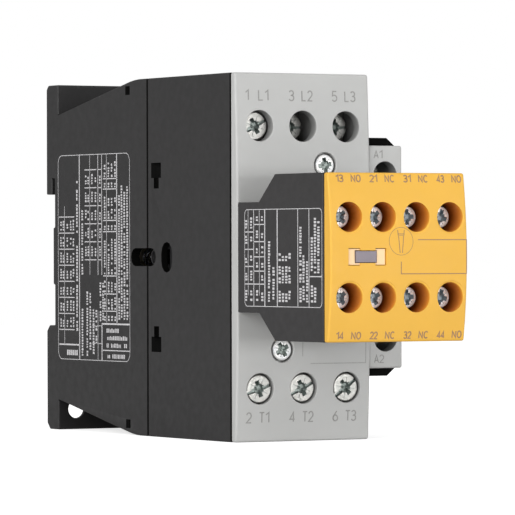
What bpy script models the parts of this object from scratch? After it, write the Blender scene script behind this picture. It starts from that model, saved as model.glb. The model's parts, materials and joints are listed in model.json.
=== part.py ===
"""Three-pole DIN rail contactor with a clip-on auxiliary contact block.

+X is to the right of the front face, +Y points to the rail and the wall, +Z is up.
The origin is the middle of the flat floor of the rail recess.
Sizes are in millimetres and become metres where a mesh is made.
"""

import math

import bmesh
import bpy
from mathutils import Matrix, Vector

MM = 0.001
GAP = 0.3  # between pieces that rest on each other

# Casing: the pole section is the left part of the width, the coil terminals are the right part
WIDTH = 45.0
HEIGHT = 85.0
LEFT = -WIDTH / 2
RIGHT = WIDTH / 2
TOP = HEIGHT / 2
POLE_EDGE = 13.1
BACK = 4.4
FLANGE_FRONT = -1.9
BODY_HALF_AT_FLANGE = 35.1
SHOULDER = -42.2
SEAM = -48.8
STEP = -60.0
HOUSING_FRONT = -89.3
COVER_BACK = HOUSING_FRONT - GAP
COVER_EDGE = -91.6
COVER_RISE = 1.2
COIL_FRONT = -87.9
COIL_COVER_FRONT = -91.3
COIL_HALF = 27.9
COIL_COVER_HALF = 26.0
WALL = 2.2
SIDE_WALL = 1.6

# Rail recess and latch
RECESS_TOP = 15.5
RECESS_BOTTOM = -16.8
RAIL_SLOT_TOP = 19.5
RAIL_LIP = 1.5
PAD_RISE = 0.8
CHANNEL_FLOOR = 0.4

# Interlock opening in both side walls, and the stub of the contact carrier that stands in it
INTERLOCK_Y = (-53.0, -40.5)
INTERLOCK_Z = (-2.1, 2.2)
STUB_CENTRE = (-50.7, 0.05)
STUB_RADIUS = 1.85
STUB_END = LEFT + 0.9

# Poles, terminals and contacts
POLE_PITCH = 11.5
POLES = tuple(-4.7 + POLE_PITCH * step for step in (-1, 0, 1))
CHAMBER = 4.7
CHAMBER_BACK = -70.0
TERMINAL_Z = 30.25
SCREW_HOLE = 3.6
HEAD_DEPTHS = {
    "l1": 2.5,
    "l2": 6.4,
    "l3": 5.4,
    "t1": 0.75,
    "t2": 0.9,
    "t3": 0.6,
}
HEAD_RADIUS = 3.3
HEAD_THICKNESS = 2.4
SHANK_RADIUS = 1.95
SHANK_LENGTH = 12.0
CLAMP_THICKNESS = 2.2
STRIP = 1.6
STRIP_HALF_WIDTH = 3.2
PLATE_FRONT = -80.6
FIXED_TIP_FRONT = -57.0
CONTACT_GAP = 4.0
CLEARANCE = 0.1  # left between faces that meet at the end of a travel
BRIDGE_HALF_LENGTH = 13.0
TIP_INNER = 9.4
TIP_OUTER = 12.4
WINDOW_BACK = -62.0
WINDOW_FRONT = -74.0

# Magnet
TRAVEL = 5.5
CORE_HALF_WIDTH = 8.5
CORE_HALF_LENGTH = 24.5
OUTER_LEG = 17.5
CENTRE_LEG = 6.8
YOKE_BACK = -4.5
YOKE_FACE = -32.5

# Coil terminals
COIL_X = 17.9
COIL_SCREWS = {"a1": 19.2, "a2": -19.0}
COIL_HEAD_DEPTH = 7.0

# Cover screws stand in the walls between the poles
COVER_SCREWS = {"top": (1.05, 21.3), "bottom": (-10.45, -21.3)}
COVER_SCREW_SEAT = -90.6

# Auxiliary contact block
AUX_BACK = -93.1
AUX_ROOT_HALF = 12.6
AUX_HALF = 18.85
AUX_SLOPE = (-102.6, -110.0)
AUX_HOUSING_FRONT = -131.7
CAP_BACK = AUX_HOUSING_FRONT - GAP
CAP_EDGE = -133.6
CAP_RISE = 1.5
AUX_POLES = (-17.5, -8.75, 0.0, 8.75)
AUX_NORMALLY_CLOSED = (1, 2)
AUX_TERMINAL_Z = 9.0
AUX_WELL = 3.35
AUX_HEAD_FRONT = -130.4
AUX_HEAD_RADIUS = 2.45
SLIDER_BACK = -101.2
SLIDER_FRONT = -116.0

MATERIALS = {
    "black_plastic": ((0.052, 0.050, 0.051), 0.5, 0.0),
    "grey_plastic": ((0.56, 0.56, 0.545), 0.5, 0.0),
    "yellow_plastic": ((0.90, 0.52, 0.09), 0.5, 0.0),
    "dark_plastic": ((0.03, 0.03, 0.03), 0.6, 0.0),
    "natural_plastic": ((0.75, 0.70, 0.60), 0.5, 0.0),
    "indicator_plastic": ((0.33, 0.31, 0.35), 0.5, 0.0),
    "zinc_steel": ((0.72, 0.72, 0.70), 0.3, 1.0),
    "core_steel": ((0.40, 0.40, 0.42), 0.45, 1.0),
    "spring_steel": ((0.55, 0.55, 0.56), 0.35, 1.0),
    "copper": ((0.80, 0.45, 0.28), 0.35, 1.0),
    "winding_copper": ((0.62, 0.28, 0.12), 0.45, 1.0),
    "rubber": ((0.05, 0.05, 0.05), 0.8, 0.0),
}


def clear_scene():
    for obj in list(bpy.data.objects):
        bpy.data.objects.remove(obj, do_unlink=True)


def new_collection(name):
    collection = bpy.data.collections.new(name)
    bpy.context.scene.collection.children.link(collection)
    return collection


def material(name):
    made = bpy.data.materials.get(name)
    if made is None:
        colour, roughness, metallic = MATERIALS[name]
        made = bpy.data.materials.new(name)
        made.use_nodes = True
        made.diffuse_color = (*colour, 1.0)
        shader = made.node_tree.nodes["Principled BSDF"]
        shader.inputs["Base Color"].default_value = (*colour, 1.0)
        shader.inputs["Roughness"].default_value = roughness
        shader.inputs["Metallic"].default_value = metallic
    return made


def reach(side, near, far):
    """Limits on an axis, on the side that the sign gives."""
    return sorted((side * near, side * far))


def object_from(bm, name):
    mesh = bpy.data.meshes.new(name)
    bm.to_mesh(mesh)
    bm.free()
    return bpy.data.objects.new(name, mesh)


def box(name, x, y, z):
    """A box between two limits on each axis, with its origin in the middle."""
    bm = bmesh.new()
    bmesh.ops.create_cube(bm, size=1.0)
    size = [abs(high - low) * MM for low, high in (x, y, z)]
    bmesh.ops.scale(bm, vec=size, verts=bm.verts)
    made = object_from(bm, name)
    made.location = [(low + high) / 2 * MM for low, high in (x, y, z)]
    return made


def rod(name, radius, x, y, z, sides=24):
    """A round bar along Y between two limits."""
    bm = bmesh.new()
    bmesh.ops.create_cone(
        bm,
        cap_ends=True,
        segments=sides,
        radius1=radius * MM,
        radius2=radius * MM,
        depth=abs(y[1] - y[0]) * MM,
    )
    made = object_from(bm, name)
    made.rotation_euler = (math.pi / 2, 0, 0)
    made.location = (x * MM, sum(y) / 2 * MM, z * MM)
    return made


def baked_mesh(obj):
    """The evaluated mesh of an object with its caps welded, and the object removed."""
    SCRATCH.objects.link(obj)
    bpy.context.view_layer.update()
    graph = bpy.context.evaluated_depsgraph_get()
    mesh = bpy.data.meshes.new_from_object(obj.evaluated_get(graph))
    bm = bmesh.new()
    bm.from_mesh(mesh)
    bmesh.ops.remove_doubles(bm, verts=bm.verts, dist=0.001 * MM)
    bm.to_mesh(mesh)
    bm.free()
    bpy.data.objects.remove(obj, do_unlink=True)
    return mesh


def outline(name, points, axis, limits):
    """A flat outline made thick. On axis X the points are (y, z), on axis Y they are (x, z)."""
    curve = bpy.data.curves.new(name, "CURVE")
    curve.dimensions = "2D"
    curve.fill_mode = "BOTH"
    curve.extrude = abs(limits[1] - limits[0]) / 2 * MM
    spline = curve.splines.new("POLY")
    spline.points.add(len(points) - 1)
    for point, (u, v) in zip(spline.points, points):
        point.co = (u * MM, v * MM, 0.0, 1.0)
    spline.use_cyclic_u = True
    made = bpy.data.objects.new(name, baked_mesh(bpy.data.objects.new(name, curve)))
    middle = sum(limits) / 2 * MM
    if axis == "X":
        turn = Matrix(((0, 0, 1), (1, 0, 0), (0, 1, 0)))
        made.location = (middle, 0, 0)
    else:
        turn = Matrix(((1, 0, 0), (0, 0, -1), (0, 1, 0)))
        made.location = (0, middle, 0)
    made.rotation_euler = turn.to_euler()
    return made


def turned_mesh(name, profile, steps):
    """A turned solid about local Z. The profile runs down its outer side, as (radius, height)."""
    mesh = bpy.data.meshes.new(name)
    verts = [(radius * MM, 0.0, height * MM) for radius, height in profile]
    mesh.from_pydata(verts, [(i, i + 1) for i in range(len(verts) - 1)], [])
    obj = bpy.data.objects.new(name, mesh)
    turn = obj.modifiers.new("turn", "SCREW")
    turn.axis = "Z"
    turn.steps = steps
    turn.render_steps = steps
    turn.use_merge_vertices = True
    turn.merge_threshold = 0.001 * MM
    return baked_mesh(obj)


def arc_points(centre, radius, start, end, steps):
    """Points of an arc, with its angles in degrees."""
    points = []
    for step in range(steps + 1):
        angle = math.radians(start + (end - start) * step / steps)
        points.append(
            (centre[0] + radius * math.cos(angle), centre[1] + radius * math.sin(angle))
        )
    return points


def oval(y, z, steps=6):
    """The outline of a slot with round ends, long in Z or in Y."""
    if z[1] - z[0] > y[1] - y[0]:
        radius, middle = (y[1] - y[0]) / 2, sum(y) / 2
        ends = arc_points((middle, z[1] - radius), radius, 0, 180, steps)
        return ends + arc_points((middle, z[0] + radius), radius, 180, 360, steps)
    radius, middle = (z[1] - z[0]) / 2, sum(z) / 2
    ends = arc_points((y[1] - radius, middle), radius, -90, 90, steps)
    return ends + arc_points((y[0] + radius, middle), radius, 90, 270, steps)


def combine(target, operation, others):
    """One Boolean modifier that takes all the given solids."""
    holder = bpy.data.collections.new(f"{target.name}_{operation.lower()}")
    CUTTERS.children.link(holder)
    for index, other in enumerate(others):
        other.name = f"{holder.name}_{index}"
        other.hide_render = True
        other.display_type = "WIRE"
        holder.objects.link(other)
    step = target.modifiers.new(operation.lower(), "BOOLEAN")
    step.operation = operation
    step.operand_type = "COLLECTION"
    step.collection = holder


def cut(target, cutters):
    combine(target, "DIFFERENCE", cutters)


def join(target, pieces):
    combine(target, "UNION", pieces)


def keep(obj, material_name, smooth=False):
    """Puts a finished sub-part in the contactor's collection."""
    obj.data.materials.clear()
    obj.data.materials.append(material(material_name))
    if smooth:
        obj.data.shade_smooth()
        obj.data.set_sharp_from_angle(angle=math.radians(35))
    CONTACTOR.objects.link(obj)
    return obj


def coil_spring(name, radius, wire, turns, start, end):
    """A wound wire between two points, along the straight line that joins them."""
    per_turn = 8
    count = int(turns * per_turn)
    start, end = Vector(start) * MM, Vector(end) * MM
    length = (end - start).length
    curve = bpy.data.curves.new(name, "CURVE")
    curve.dimensions = "3D"
    curve.bevel_depth = wire * MM
    curve.bevel_resolution = 1
    curve.use_fill_caps = True
    spline = curve.splines.new("POLY")
    spline.points.add(count)
    for index, point in enumerate(spline.points):
        angle = 2 * math.pi * index / per_turn
        rise = wire * MM + (length - 2 * wire * MM) * index / count
        point.co = (
            radius * MM * math.cos(angle),
            radius * MM * math.sin(angle),
            rise,
            1.0,
        )
    made = bpy.data.objects.new(name, curve)
    made.location = start
    made.rotation_euler = (end - start).to_track_quat("Z", "Y").to_euler()
    return keep(made, "spring_steel")


def rear_outline():
    """Side view of the rear housing: flange, rail recess with its lips, and sloping shoulders."""
    lip_chamfer = 1.35
    corner = 1.0
    foot = 1.5
    slope = (TOP - BODY_HALF_AT_FLANGE) / (FLANGE_FRONT - SHOULDER)
    blend = 2.2
    upper = [
        (SEAM, TOP),
        (SHOULDER - blend, TOP),
        (SHOULDER, TOP - slope * blend / 3),
        (SHOULDER + blend, TOP - slope * blend),
        (FLANGE_FRONT, BODY_HALF_AT_FLANGE),
        (FLANGE_FRONT, TOP),
        (BACK - corner, TOP),
        (BACK, TOP - corner),
        (BACK, RECESS_TOP),
        (RAIL_LIP, RECESS_TOP),
        (RAIL_LIP, RAIL_SLOT_TOP),
        (0.0, RAIL_SLOT_TOP),
    ]
    lower = [
        (0.0, RECESS_BOTTOM),
        (BACK - lip_chamfer, RECESS_BOTTOM),
        (BACK, RECESS_BOTTOM - lip_chamfer),
        (BACK, foot - TOP),
        (BACK - foot, -TOP),
        (FLANGE_FRONT, -TOP),
        (FLANGE_FRONT, -BODY_HALF_AT_FLANGE),
        (SHOULDER + blend, slope * blend - TOP),
        (SHOULDER, slope * blend / 3 - TOP),
        (SHOULDER - blend, -TOP),
        (SEAM, -TOP),
    ]
    return upper + lower


def interlock_cutter(side, depth):
    """The rounded opening for a mechanical interlock, which both housings share."""
    shape = oval(INTERLOCK_Y, INTERLOCK_Z)
    return outline("interlock", shape, "X", reach(side, RIGHT - depth, RIGHT + 1))


def build_rear_housing():
    housing = outline("rear_housing", rear_outline(), "X", (LEFT, RIGHT))
    inner = RIGHT - WALL
    cavity_back = -2.4
    cavity = [
        (cavity_back, BODY_HALF_AT_FLANGE - 2.7),
        (SHOULDER, TOP - WALL - 0.3),
        (SEAM - 1, TOP - WALL - 0.3),
        (SEAM - 1, WALL + 0.3 - TOP),
        (SHOULDER, WALL + 0.3 - TOP),
        (cavity_back, 2.7 - BODY_HALF_AT_FLANGE),
    ]
    hole_x, hole_z, hole_radius = 17.5, 37.5, 2.3
    through = (FLANGE_FRONT - 8, BACK + 1)
    web = 1.0
    hollow = (FLANGE_FRONT + web, BACK + 1)
    hollow_x = (hole_x - 6.0, hole_x + 3.4)
    hollow_z = (hole_z - 3.5, hole_z + 3.1)
    channel = (RECESS_BOTTOM + 0.8, -TOP - 1)
    cutters = [
        outline("cavity", cavity, "X", (-inner, inner)),
        rod("fixing", hole_radius, hole_x, through, hole_z),
        rod("fixing", hole_radius, -hole_x, through, -hole_z),
        box("hollow", hollow_x, hollow, hollow_z),
        box("hollow", (-hollow_x[1], -hollow_x[0]), hollow, (-hollow_z[1], -hollow_z[0])),
        box("channel", (-9.3, 9.3), (CHANNEL_FLOOR, 2.9), channel),
        box("channel_mouth", (-6.8, 6.8), (2.8, BACK + 1), channel),
    ]
    for side in (-1, 1):
        cutters.append(interlock_cutter(side, WALL + 0.5))
        for z in ((38.9, 41.0), (-40.9, -38.8)):
            cutters.append(box("slot", reach(side, RIGHT - 1.4, RIGHT + 1), (-40.0, -37.7), z))
    cut(housing, cutters)
    pad = [(-0.5, 8.15), (0.0, 8.15), (PAD_RISE, 7.35), (PAD_RISE, -6.7), (0.0, -7.5), (-0.5, -7.5)]
    added = [
        outline("pad", pad, "X", (LEFT, LEFT + 6)),
        outline("pad", pad, "X", (RIGHT - 6, RIGHT)),
        box("spring_post", (-2.2, 2.2), (-0.3, 3.2), (-35.8, -34.2)),
    ]
    for z in ((25.6, 27.2), (-27.2, -25.6)):
        added.append(box("rib", (-inner - 0.5, inner + 0.5), (-2.0, -34.0), z))
    join(housing, added)
    keep(housing, "black_plastic")


def build_rail_latch():
    bottom, top = -41.5, RECESS_BOTTOM - GAP
    window_top, window_bottom = -24.5, -36.2
    latch = box("rail_latch", (-9.0, 9.0), (CHANNEL_FLOOR + GAP, 2.6), (bottom, top))
    hook = [(1.3, top - 1), (1.3, -14.4), (2.0, -14.4), (3.9, -16.6), (3.9, top - 1)]
    join(
        latch,
        [
            box("slide", (-6.5, 6.5), (2.0, 4.1), (bottom, top)),
            outline("hook", hook, "X", (-6.5, 6.5)),
        ],
    )
    cut(
        latch,
        [
            box("window", (-3.0, 3.0), (-1, 6), (window_bottom, window_top)),
            box("driver_slot", (-3.0, 3.0), (-1, 6), (-40.0, -38.0)),
        ],
    )
    keep(latch, "dark_plastic")
    coil_spring(
        "rail_latch_spring", 1.0, 0.22, 7, (0, 1.9, -34.2 + GAP), (0, 1.9, window_top - GAP)
    )


def build_front_housing():
    housing = box("front_housing", (LEFT, RIGHT), (HOUSING_FRONT, SEAM - GAP), (-TOP, TOP))
    ahead = HOUSING_FRONT - 1
    beyond = RIGHT + 1
    floor_front = -52.4
    chambers_edge = (POLES[0] - CHAMBER, POLES[2] + CHAMBER)
    cutters = [
        box("coil_front", (POLE_EDGE, beyond), (ahead, COIL_FRONT), (-TOP - 1, TOP + 1)),
        box("carrier_way", chambers_edge, (ahead, SEAM), (-4.2, 4.2)),
        box("rear_room", (WALL + LEFT, RIGHT - WALL), (-50.4, SEAM + 1), (-40.0, 40.0)),
    ]
    slope = 1.9 / 2.2
    for side in (-1, 1):
        past_coil = reach(side, COIL_HALF, TOP + 1)
        cutters.append(box("step", (POLE_EDGE, beyond), (ahead, STEP), past_coil))
        corner = [
            (20.3 - 1.0, side * (COIL_HALF + slope)),
            (beyond, side * (COIL_HALF + slope)),
            (beyond, side * (COIL_COVER_HALF - slope)),
        ]
        cutters.append(outline("corner", corner, "Y", (ahead, STEP)))
        chamber, entry = reach(side, 12.0, 26.3), reach(side, 26.0, 29.0)
        cutters.append(box("coil_chamber", (14.2, 21.5), (ahead, CHAMBER_BACK), chamber))
        cutters.append(box("coil_wire_entry", (14.6, 21.1), (-84.5, -78.0), entry))
        for pole in POLES:
            chamber, entry = (pole - CHAMBER, pole + CHAMBER), (pole - 4.0, pole + 4.0)
            slot = (pole - STRIP_HALF_WIDTH - GAP, pole + STRIP_HALF_WIDTH + GAP)
            strip = (PLATE_FRONT - GAP, PLATE_FRONT + STRIP + GAP)
            cutters += [
                box("terminal", chamber, (ahead, CHAMBER_BACK), reach(side, 24.7, 40.5)),
                box("strip_slot", slot, strip, reach(side, 23.0, 25.0)),
                box("wire_entry", entry, (-87.6, -81.0), reach(side, 40.0, 44.0)),
            ]
    for pole in POLES:
        chamber = (pole - CHAMBER, pole + CHAMBER)
        cutters.append(box("contacts", chamber, (ahead, floor_front), (-23.3, 23.3)))
    wall = (LEFT - 1, LEFT + SIDE_WALL + 0.4)
    cutters.append(outline("oval", oval((-61.2, -55.8), (-3.6, 3.65)), "X", wall))
    for side in (-1, 1):
        cutters.append(interlock_cutter(side, SIDE_WALL + 0.4))
        cutters.append(box("key_wide", wall, (-55.7, -50.8), reach(side, 18.8, 22.4)))
        cutters.append(box("key_narrow", wall, (-54.6, -52.1), reach(side, 16.3, 19.3)))
    cut(housing, cutters)
    boss = (HOUSING_FRONT + GAP, -68.0)
    pilot = (ahead, CHAMBER_BACK)
    join(housing, [rod("boss", 2.2, x, boss, z) for x, z in COVER_SCREWS.values()])
    cut(housing, [rod("pilot", 1.6, x, pilot, z) for x, z in COVER_SCREWS.values()])
    keep(housing, "black_plastic")


def crowned_outline(back, edge, rise, half, corner):
    """Side view of a cover: a flat back, and a front that bows out by rise in its middle."""
    steps = 12
    points = [(back, -half), (back, half), (edge + corner, half)]
    for step in range(steps + 1):
        z = (half - corner) * (1 - 2 * step / steps)
        points.append((edge - rise * (1 - (z / half) ** 2), z))
    return points + [(edge + corner, -half)]


def build_front_cover():
    shape = crowned_outline(COVER_BACK, COVER_EDGE, COVER_RISE, TOP, 0.6)
    cover = outline("front_cover", shape, "X", (LEFT, POLE_EDGE))
    through = (-95.0, -88.0)
    cutters = [
        box("nose_opening", (-9.0, -0.4), through, (-4.0, 4.0)),
        box("hook_slot", (-9.3, -0.1), through, (9.3, 13.5)),
        box("hook_slot", (-9.3, -0.1), through, (-13.5, -9.3)),
    ]
    for pole in POLES:
        for z in (TERMINAL_Z, -TERMINAL_Z):
            cutters.append(rod("terminal_hole", SCREW_HOLE, pole, through, z))
    for x, z in COVER_SCREWS.values():
        cutters.append(rod("counterbore", 2.95, x, (-95.0, COVER_SCREW_SEAT), z))
        cutters.append(rod("screw_way", 1.7, x, through, z, 16))
    cut(cover, cutters)
    keep(cover, "grey_plastic")


def build_coil_terminal_cover():
    cover = box(
        "coil_terminal_cover",
        (POLE_EDGE + GAP, RIGHT),
        (COIL_COVER_FRONT, COIL_FRONT - GAP),
        (-COIL_COVER_HALF, COIL_COVER_HALF),
    )
    through = (-95.0, -85.0)
    cut(cover, [rod("hole", 3.1, COIL_X, through, z) for z in COIL_SCREWS.values()])
    keep(cover, "grey_plastic")


def screw_mesh(name, head_radius, head_thickness, shank_radius, length, recess):
    """A screw with its head's face at local height 0 and a cross recess in it."""
    profile = [
        (0.0, 0.0),
        (head_radius * 0.9, 0.0),
        (head_radius, -head_thickness * 0.3),
        (head_radius, -head_thickness),
        (shank_radius, -head_thickness),
        (shank_radius, 0.5 - length),
        (shank_radius * 0.7, -length),
        (0.0, -length),
    ]
    screw = bpy.data.objects.new(name, turned_mesh(name, profile, 14))
    arm, half_width = head_radius * 0.62, head_radius * 0.13
    depth = (-recess, 1.0)
    cut(
        screw,
        [
            box("recess", (-arm, arm), (-half_width, half_width), depth),
            box("recess", (-half_width, half_width), (-arm, arm), depth),
        ],
    )
    return baked_mesh(screw)


def place_screw(name, mesh, x, y, z):
    """A screw whose head faces the front, with its origin on its own axis."""
    screw = bpy.data.objects.new(name, mesh)
    screw.rotation_euler = (math.pi / 2, 0, 0)
    screw.location = (x * MM, y * MM, z * MM)
    keep(screw, "zinc_steel", smooth=True)


def head_front(depth, z):
    """Where a terminal screw's face lies, a depth below the crowned cover."""
    return COVER_EDGE - COVER_RISE * (1 - (z / TOP) ** 2) + depth


def build_clamp(name, x, y, z, half_x, half_z, thickness, hole):
    """The plate that a screw presses on a wire."""
    depth = (y, y + thickness)
    clamp = box(name, (x - half_x, x + half_x), depth, (z - half_z, z + half_z))
    cut(clamp, [rod("hole", hole, x, (y - 1, y + thickness + 1), z, 20)])
    keep(clamp, "zinc_steel")


def build_main_terminals():
    mesh = screw_mesh(
        "terminal_screw",
        HEAD_RADIUS,
        HEAD_THICKNESS,
        SHANK_RADIUS,
        HEAD_THICKNESS + SHANK_LENGTH,
        1.5,
    )
    for (name, depth), pole in zip(HEAD_DEPTHS.items(), POLES * 2):
        z = TERMINAL_Z if name.startswith("l") else -TERMINAL_Z
        y = head_front(depth, z)
        place_screw(f"terminal_screw_{name}", mesh, pole, y, z)
        clamp_y = y + HEAD_THICKNESS + GAP
        build_clamp(f"terminal_clamp_{name}", pole, clamp_y, z, 3.9, 3.9, CLAMP_THICKNESS, 2.2)
        build_fixed_contact(f"fixed_contact_{name}", pole, 1 if z > 0 else -1)


def build_fixed_contact(name, pole, side):
    """A bent strip from the terminal plate down to the contact tip."""
    run = 21.4
    root = FIXED_TIP_FRONT + 1.0
    end = 38.0
    points = [
        (PLATE_FRONT, end),
        (PLATE_FRONT, run),
        (root, run),
        (root, TIP_OUTER),
        (FIXED_TIP_FRONT, TIP_OUTER),
        (FIXED_TIP_FRONT, TIP_INNER),
        (root, TIP_INNER),
        (root, TIP_INNER - 0.6),
        (root + STRIP, TIP_INNER - 0.6),
        (root + STRIP, run + STRIP),
        (PLATE_FRONT + STRIP, run + STRIP),
        (PLATE_FRONT + STRIP, end),
    ]
    points = [(y, side * z) for y, z in points]
    strip = outline(name, points, "X", (pole - STRIP_HALF_WIDTH, pole + STRIP_HALF_WIDTH))
    hole = rod("hole", 2.2, pole, (PLATE_FRONT - 1, PLATE_FRONT + STRIP + 1), side * TERMINAL_Z, 20)
    cut(strip, [hole])
    keep(strip, "copper")


def build_coil_terminals():
    head, thickness = 2.7, 1.9
    mesh = screw_mesh("coil_screw", head, thickness, 1.6, thickness + 9.0, 1.3)
    y = COIL_COVER_FRONT + COIL_HEAD_DEPTH
    for name, z in COIL_SCREWS.items():
        place_screw(f"coil_terminal_screw_{name}", mesh, COIL_X, y, z)
        clamp_y = y + thickness + GAP
        build_clamp(f"coil_terminal_clamp_{name}", COIL_X, clamp_y, z, 2.8, 3.2, 1.8, 1.85)


def build_cover_screws():
    thickness = 1.4
    mesh = screw_mesh("cover_screw", 2.45, thickness, 1.25, 14.0, 1.0)
    for name, (x, z) in COVER_SCREWS.items():
        place_screw(f"cover_screw_{name}", mesh, x, COVER_SCREW_SEAT - GAP - thickness, z)


def build_magnet():
    width = (-CORE_HALF_WIDTH, CORE_HALF_WIDTH)
    keep(box("yoke_damper", (-9.0, 9.0), (YOKE_BACK + GAP, -2.7), (-22.0, 22.0)), "rubber")

    def core(back, root, face):
        half = [(back, CORE_HALF_LENGTH), (face, CORE_HALF_LENGTH)]
        half += [(face, OUTER_LEG), (root, OUTER_LEG)]
        half += [(root, CENTRE_LEG), (face, CENTRE_LEG)]
        return half + [(y, -z) for y, z in reversed(half)]

    keep(outline("magnet_yoke", core(YOKE_BACK, -13.0, YOKE_FACE), "X", width), "core_steel")
    face = YOKE_FACE - TRAVEL - CLEARANCE
    keep(outline("armature", core(face - 9.4, face - 3.9, face), "X", width), "core_steel")


def build_coil():
    back, front, flange = -13.4, -32.0, 1.4
    bobbin = box("coil_bobbin", (-10.1, 10.1), (front, back), (-8.4, 8.4))
    join(
        bobbin,
        [
            box("flange", (-17.0, 17.0), (back - flange, back), (-17.1, 17.1)),
            box("flange", (-17.0, 17.0), (front, front + flange), (-17.1, 17.1)),
        ],
    )
    cut(bobbin, [box("core_way", (-8.9, 8.9), (front - 1, back + 1), (-7.2, 7.2))])
    keep(bobbin, "natural_plastic")
    limits = (front + flange + GAP, back - flange - GAP)
    round_corner = 4.0
    winding_outline = []
    for x, z, start in ((1, 1, 0), (-1, 1, 90), (-1, -1, 180), (1, -1, 270)):
        centre = (x * (16.4 - round_corner), z * (16.4 - round_corner))
        winding_outline += arc_points(centre, round_corner, start, start + 90, 4)
    winding = outline("coil_winding", winding_outline, "Y", limits)
    cut(winding, [box("bore", (-10.4, 10.4), (front, back), (-8.7, 8.7))])
    keep(winding, "winding_copper")


def build_contact_carrier():
    left, right = POLES[0] - CHAMBER + GAP, POLES[2] + CHAMBER - GAP
    column_front, base_back = -80.0, -47.8
    stub = arc_points(STUB_CENTRE, STUB_RADIUS, 0, 360, 20)[:-1]
    carrier = box("contact_carrier", (left, right), (column_front, -56.5), (-3.6, 3.6))
    join(
        carrier,
        [
            box("neck", (-16.0, right), (-57.0, base_back - 1), (-3.6, 3.6)),
            box("base", (-16.5, 16.5), (-50.1, base_back), (-7.0, 7.0)),
            box("ear", (-10.2, -8.8), (-48.5, -42.5), (-3.0, 3.0)),
            box("ear", (8.8, 10.2), (-48.5, -42.5), (-3.0, 3.0)),
            box("nose", (-7.7, -1.7), (-93.5, column_front + 1), (-2.6, 2.6)),
            outline("stub", stub, "X", (STUB_END, -15.5)),
        ],
    )
    windows = [
        box("window", (pole - 3.9, pole + 3.9), (WINDOW_FRONT, WINDOW_BACK), (-5, 5))
        for pole in POLES
    ]
    cut(carrier, windows)
    keep(carrier, "dark_plastic")


def bridge_outline(back, thickness, tip, half, inner, outer, towards):
    """Side view of a contact bridge, with a tip near each end on one face."""
    front = back - thickness
    face, other = (back, front) if towards > 0 else (front, back)
    half_points = [(other, half), (face, half), (face, outer), (face + towards * tip, outer)]
    half_points += [(face + towards * tip, inner), (face, inner)]
    return half_points + [(y, -z) for y, z in reversed(half_points)]


def build_main_bridges():
    tip = 1.2
    back = FIXED_TIP_FRONT - CONTACT_GAP - CLEARANCE - tip
    thickness = 1.6
    for number, pole in enumerate(POLES, 1):
        shape = bridge_outline(back, thickness, tip, BRIDGE_HALF_LENGTH, TIP_INNER, TIP_OUTER, 1)
        bridge = outline(f"moving_bridge_{number}", shape, "X", (pole - 2.6, pole + 2.6))
        keep(bridge, "copper")
        seat = back - thickness - GAP
        coil_spring(
            f"contact_spring_{number}", 2.2, 0.3, 5, (pole, seat, 0), (pole, WINDOW_FRONT + GAP, 0)
        )


def build_return_springs():
    for name, x in (("left", -13.0), ("right", 13.0)):
        coil_spring(f"return_spring_{name}", 2.0, 0.28, 6, (x, -32.3, 0), (x, -47.5, 0))


def build_aux_housing():
    rear, slope_end = AUX_SLOPE
    half = [
        (AUX_BACK, AUX_ROOT_HALF),
        (rear, AUX_ROOT_HALF),
        (slope_end, AUX_HALF),
        (AUX_HOUSING_FRONT, AUX_HALF),
    ]
    shape = half + [(y, -z) for y, z in reversed(half)]
    housing = outline("aux_housing", shape, "X", (LEFT, POLE_EDGE))
    ahead = AUX_HOUSING_FRONT - 1
    cutters = [
        box("cap_pocket", (LEFT + 1.2, POLE_EDGE - 1.2), (ahead, -127.7), (-17.65, 17.65)),
        box("contact_room", (-21.0, 11.8), (-117.0, AUX_BACK - 2.0), (-7.4, 7.4)),
        box("stem_way", (-9.0, -0.4), (-96.0, AUX_BACK + 1), (-3.2, 3.2)),
        box("indicator_way", (-18.2, -7.5), (-128.5, -116.5), (-2.9, 2.9)),
    ]
    for pole in AUX_POLES:
        for side in (-1, 1):
            chamber, entry = (pole - 3.4, pole + 3.4), (pole - 2.9, pole + 2.9)
            cutters += [
                box("terminal", chamber, (-128.5, -118.0), reach(side, 4.9, 16.6)),
                box("wire_entry", entry, (-126.6, -120.8), reach(side, 16.0, AUX_HALF + 1)),
            ]
    cut(housing, cutters)
    hooks = []
    width, end = (-9.0, -0.4), -88.5
    for side in (-1, 1):
        arm, tip = (AUX_BACK - 0.5, end), (COVER_BACK + GAP, end)
        hooks.append(box("hook", width, arm, reach(side, 9.7, 11.0)))
        hooks.append(box("hook_tip", width, tip, reach(side, 10.0, 12.8)))
    join(housing, hooks)
    keep(housing, "black_plastic")


def build_aux_front_cap():
    shape = crowned_outline(CAP_BACK, CAP_EDGE, CAP_RISE, AUX_HALF, 0.4)
    cap = outline("aux_front_cap", shape, "X", (LEFT, POLE_EDGE))
    plug_depth = (CAP_BACK - 0.6, -128.0)
    join(cap, [box("plug", (LEFT + 1.5, POLE_EDGE - 1.5), plug_depth, (-17.35, 17.35))])
    through = (-137.0, -127.0)
    cutters = [box("window", (-17.95, -8.15), through, (-1.8, 2.05))]
    for pole in AUX_POLES:
        for z in (AUX_TERMINAL_Z, -AUX_TERMINAL_Z):
            cutters.append(rod("well", AUX_WELL, pole, through, z, 20))
    cut(cap, cutters)
    keep(cap, "yellow_plastic")


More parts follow.
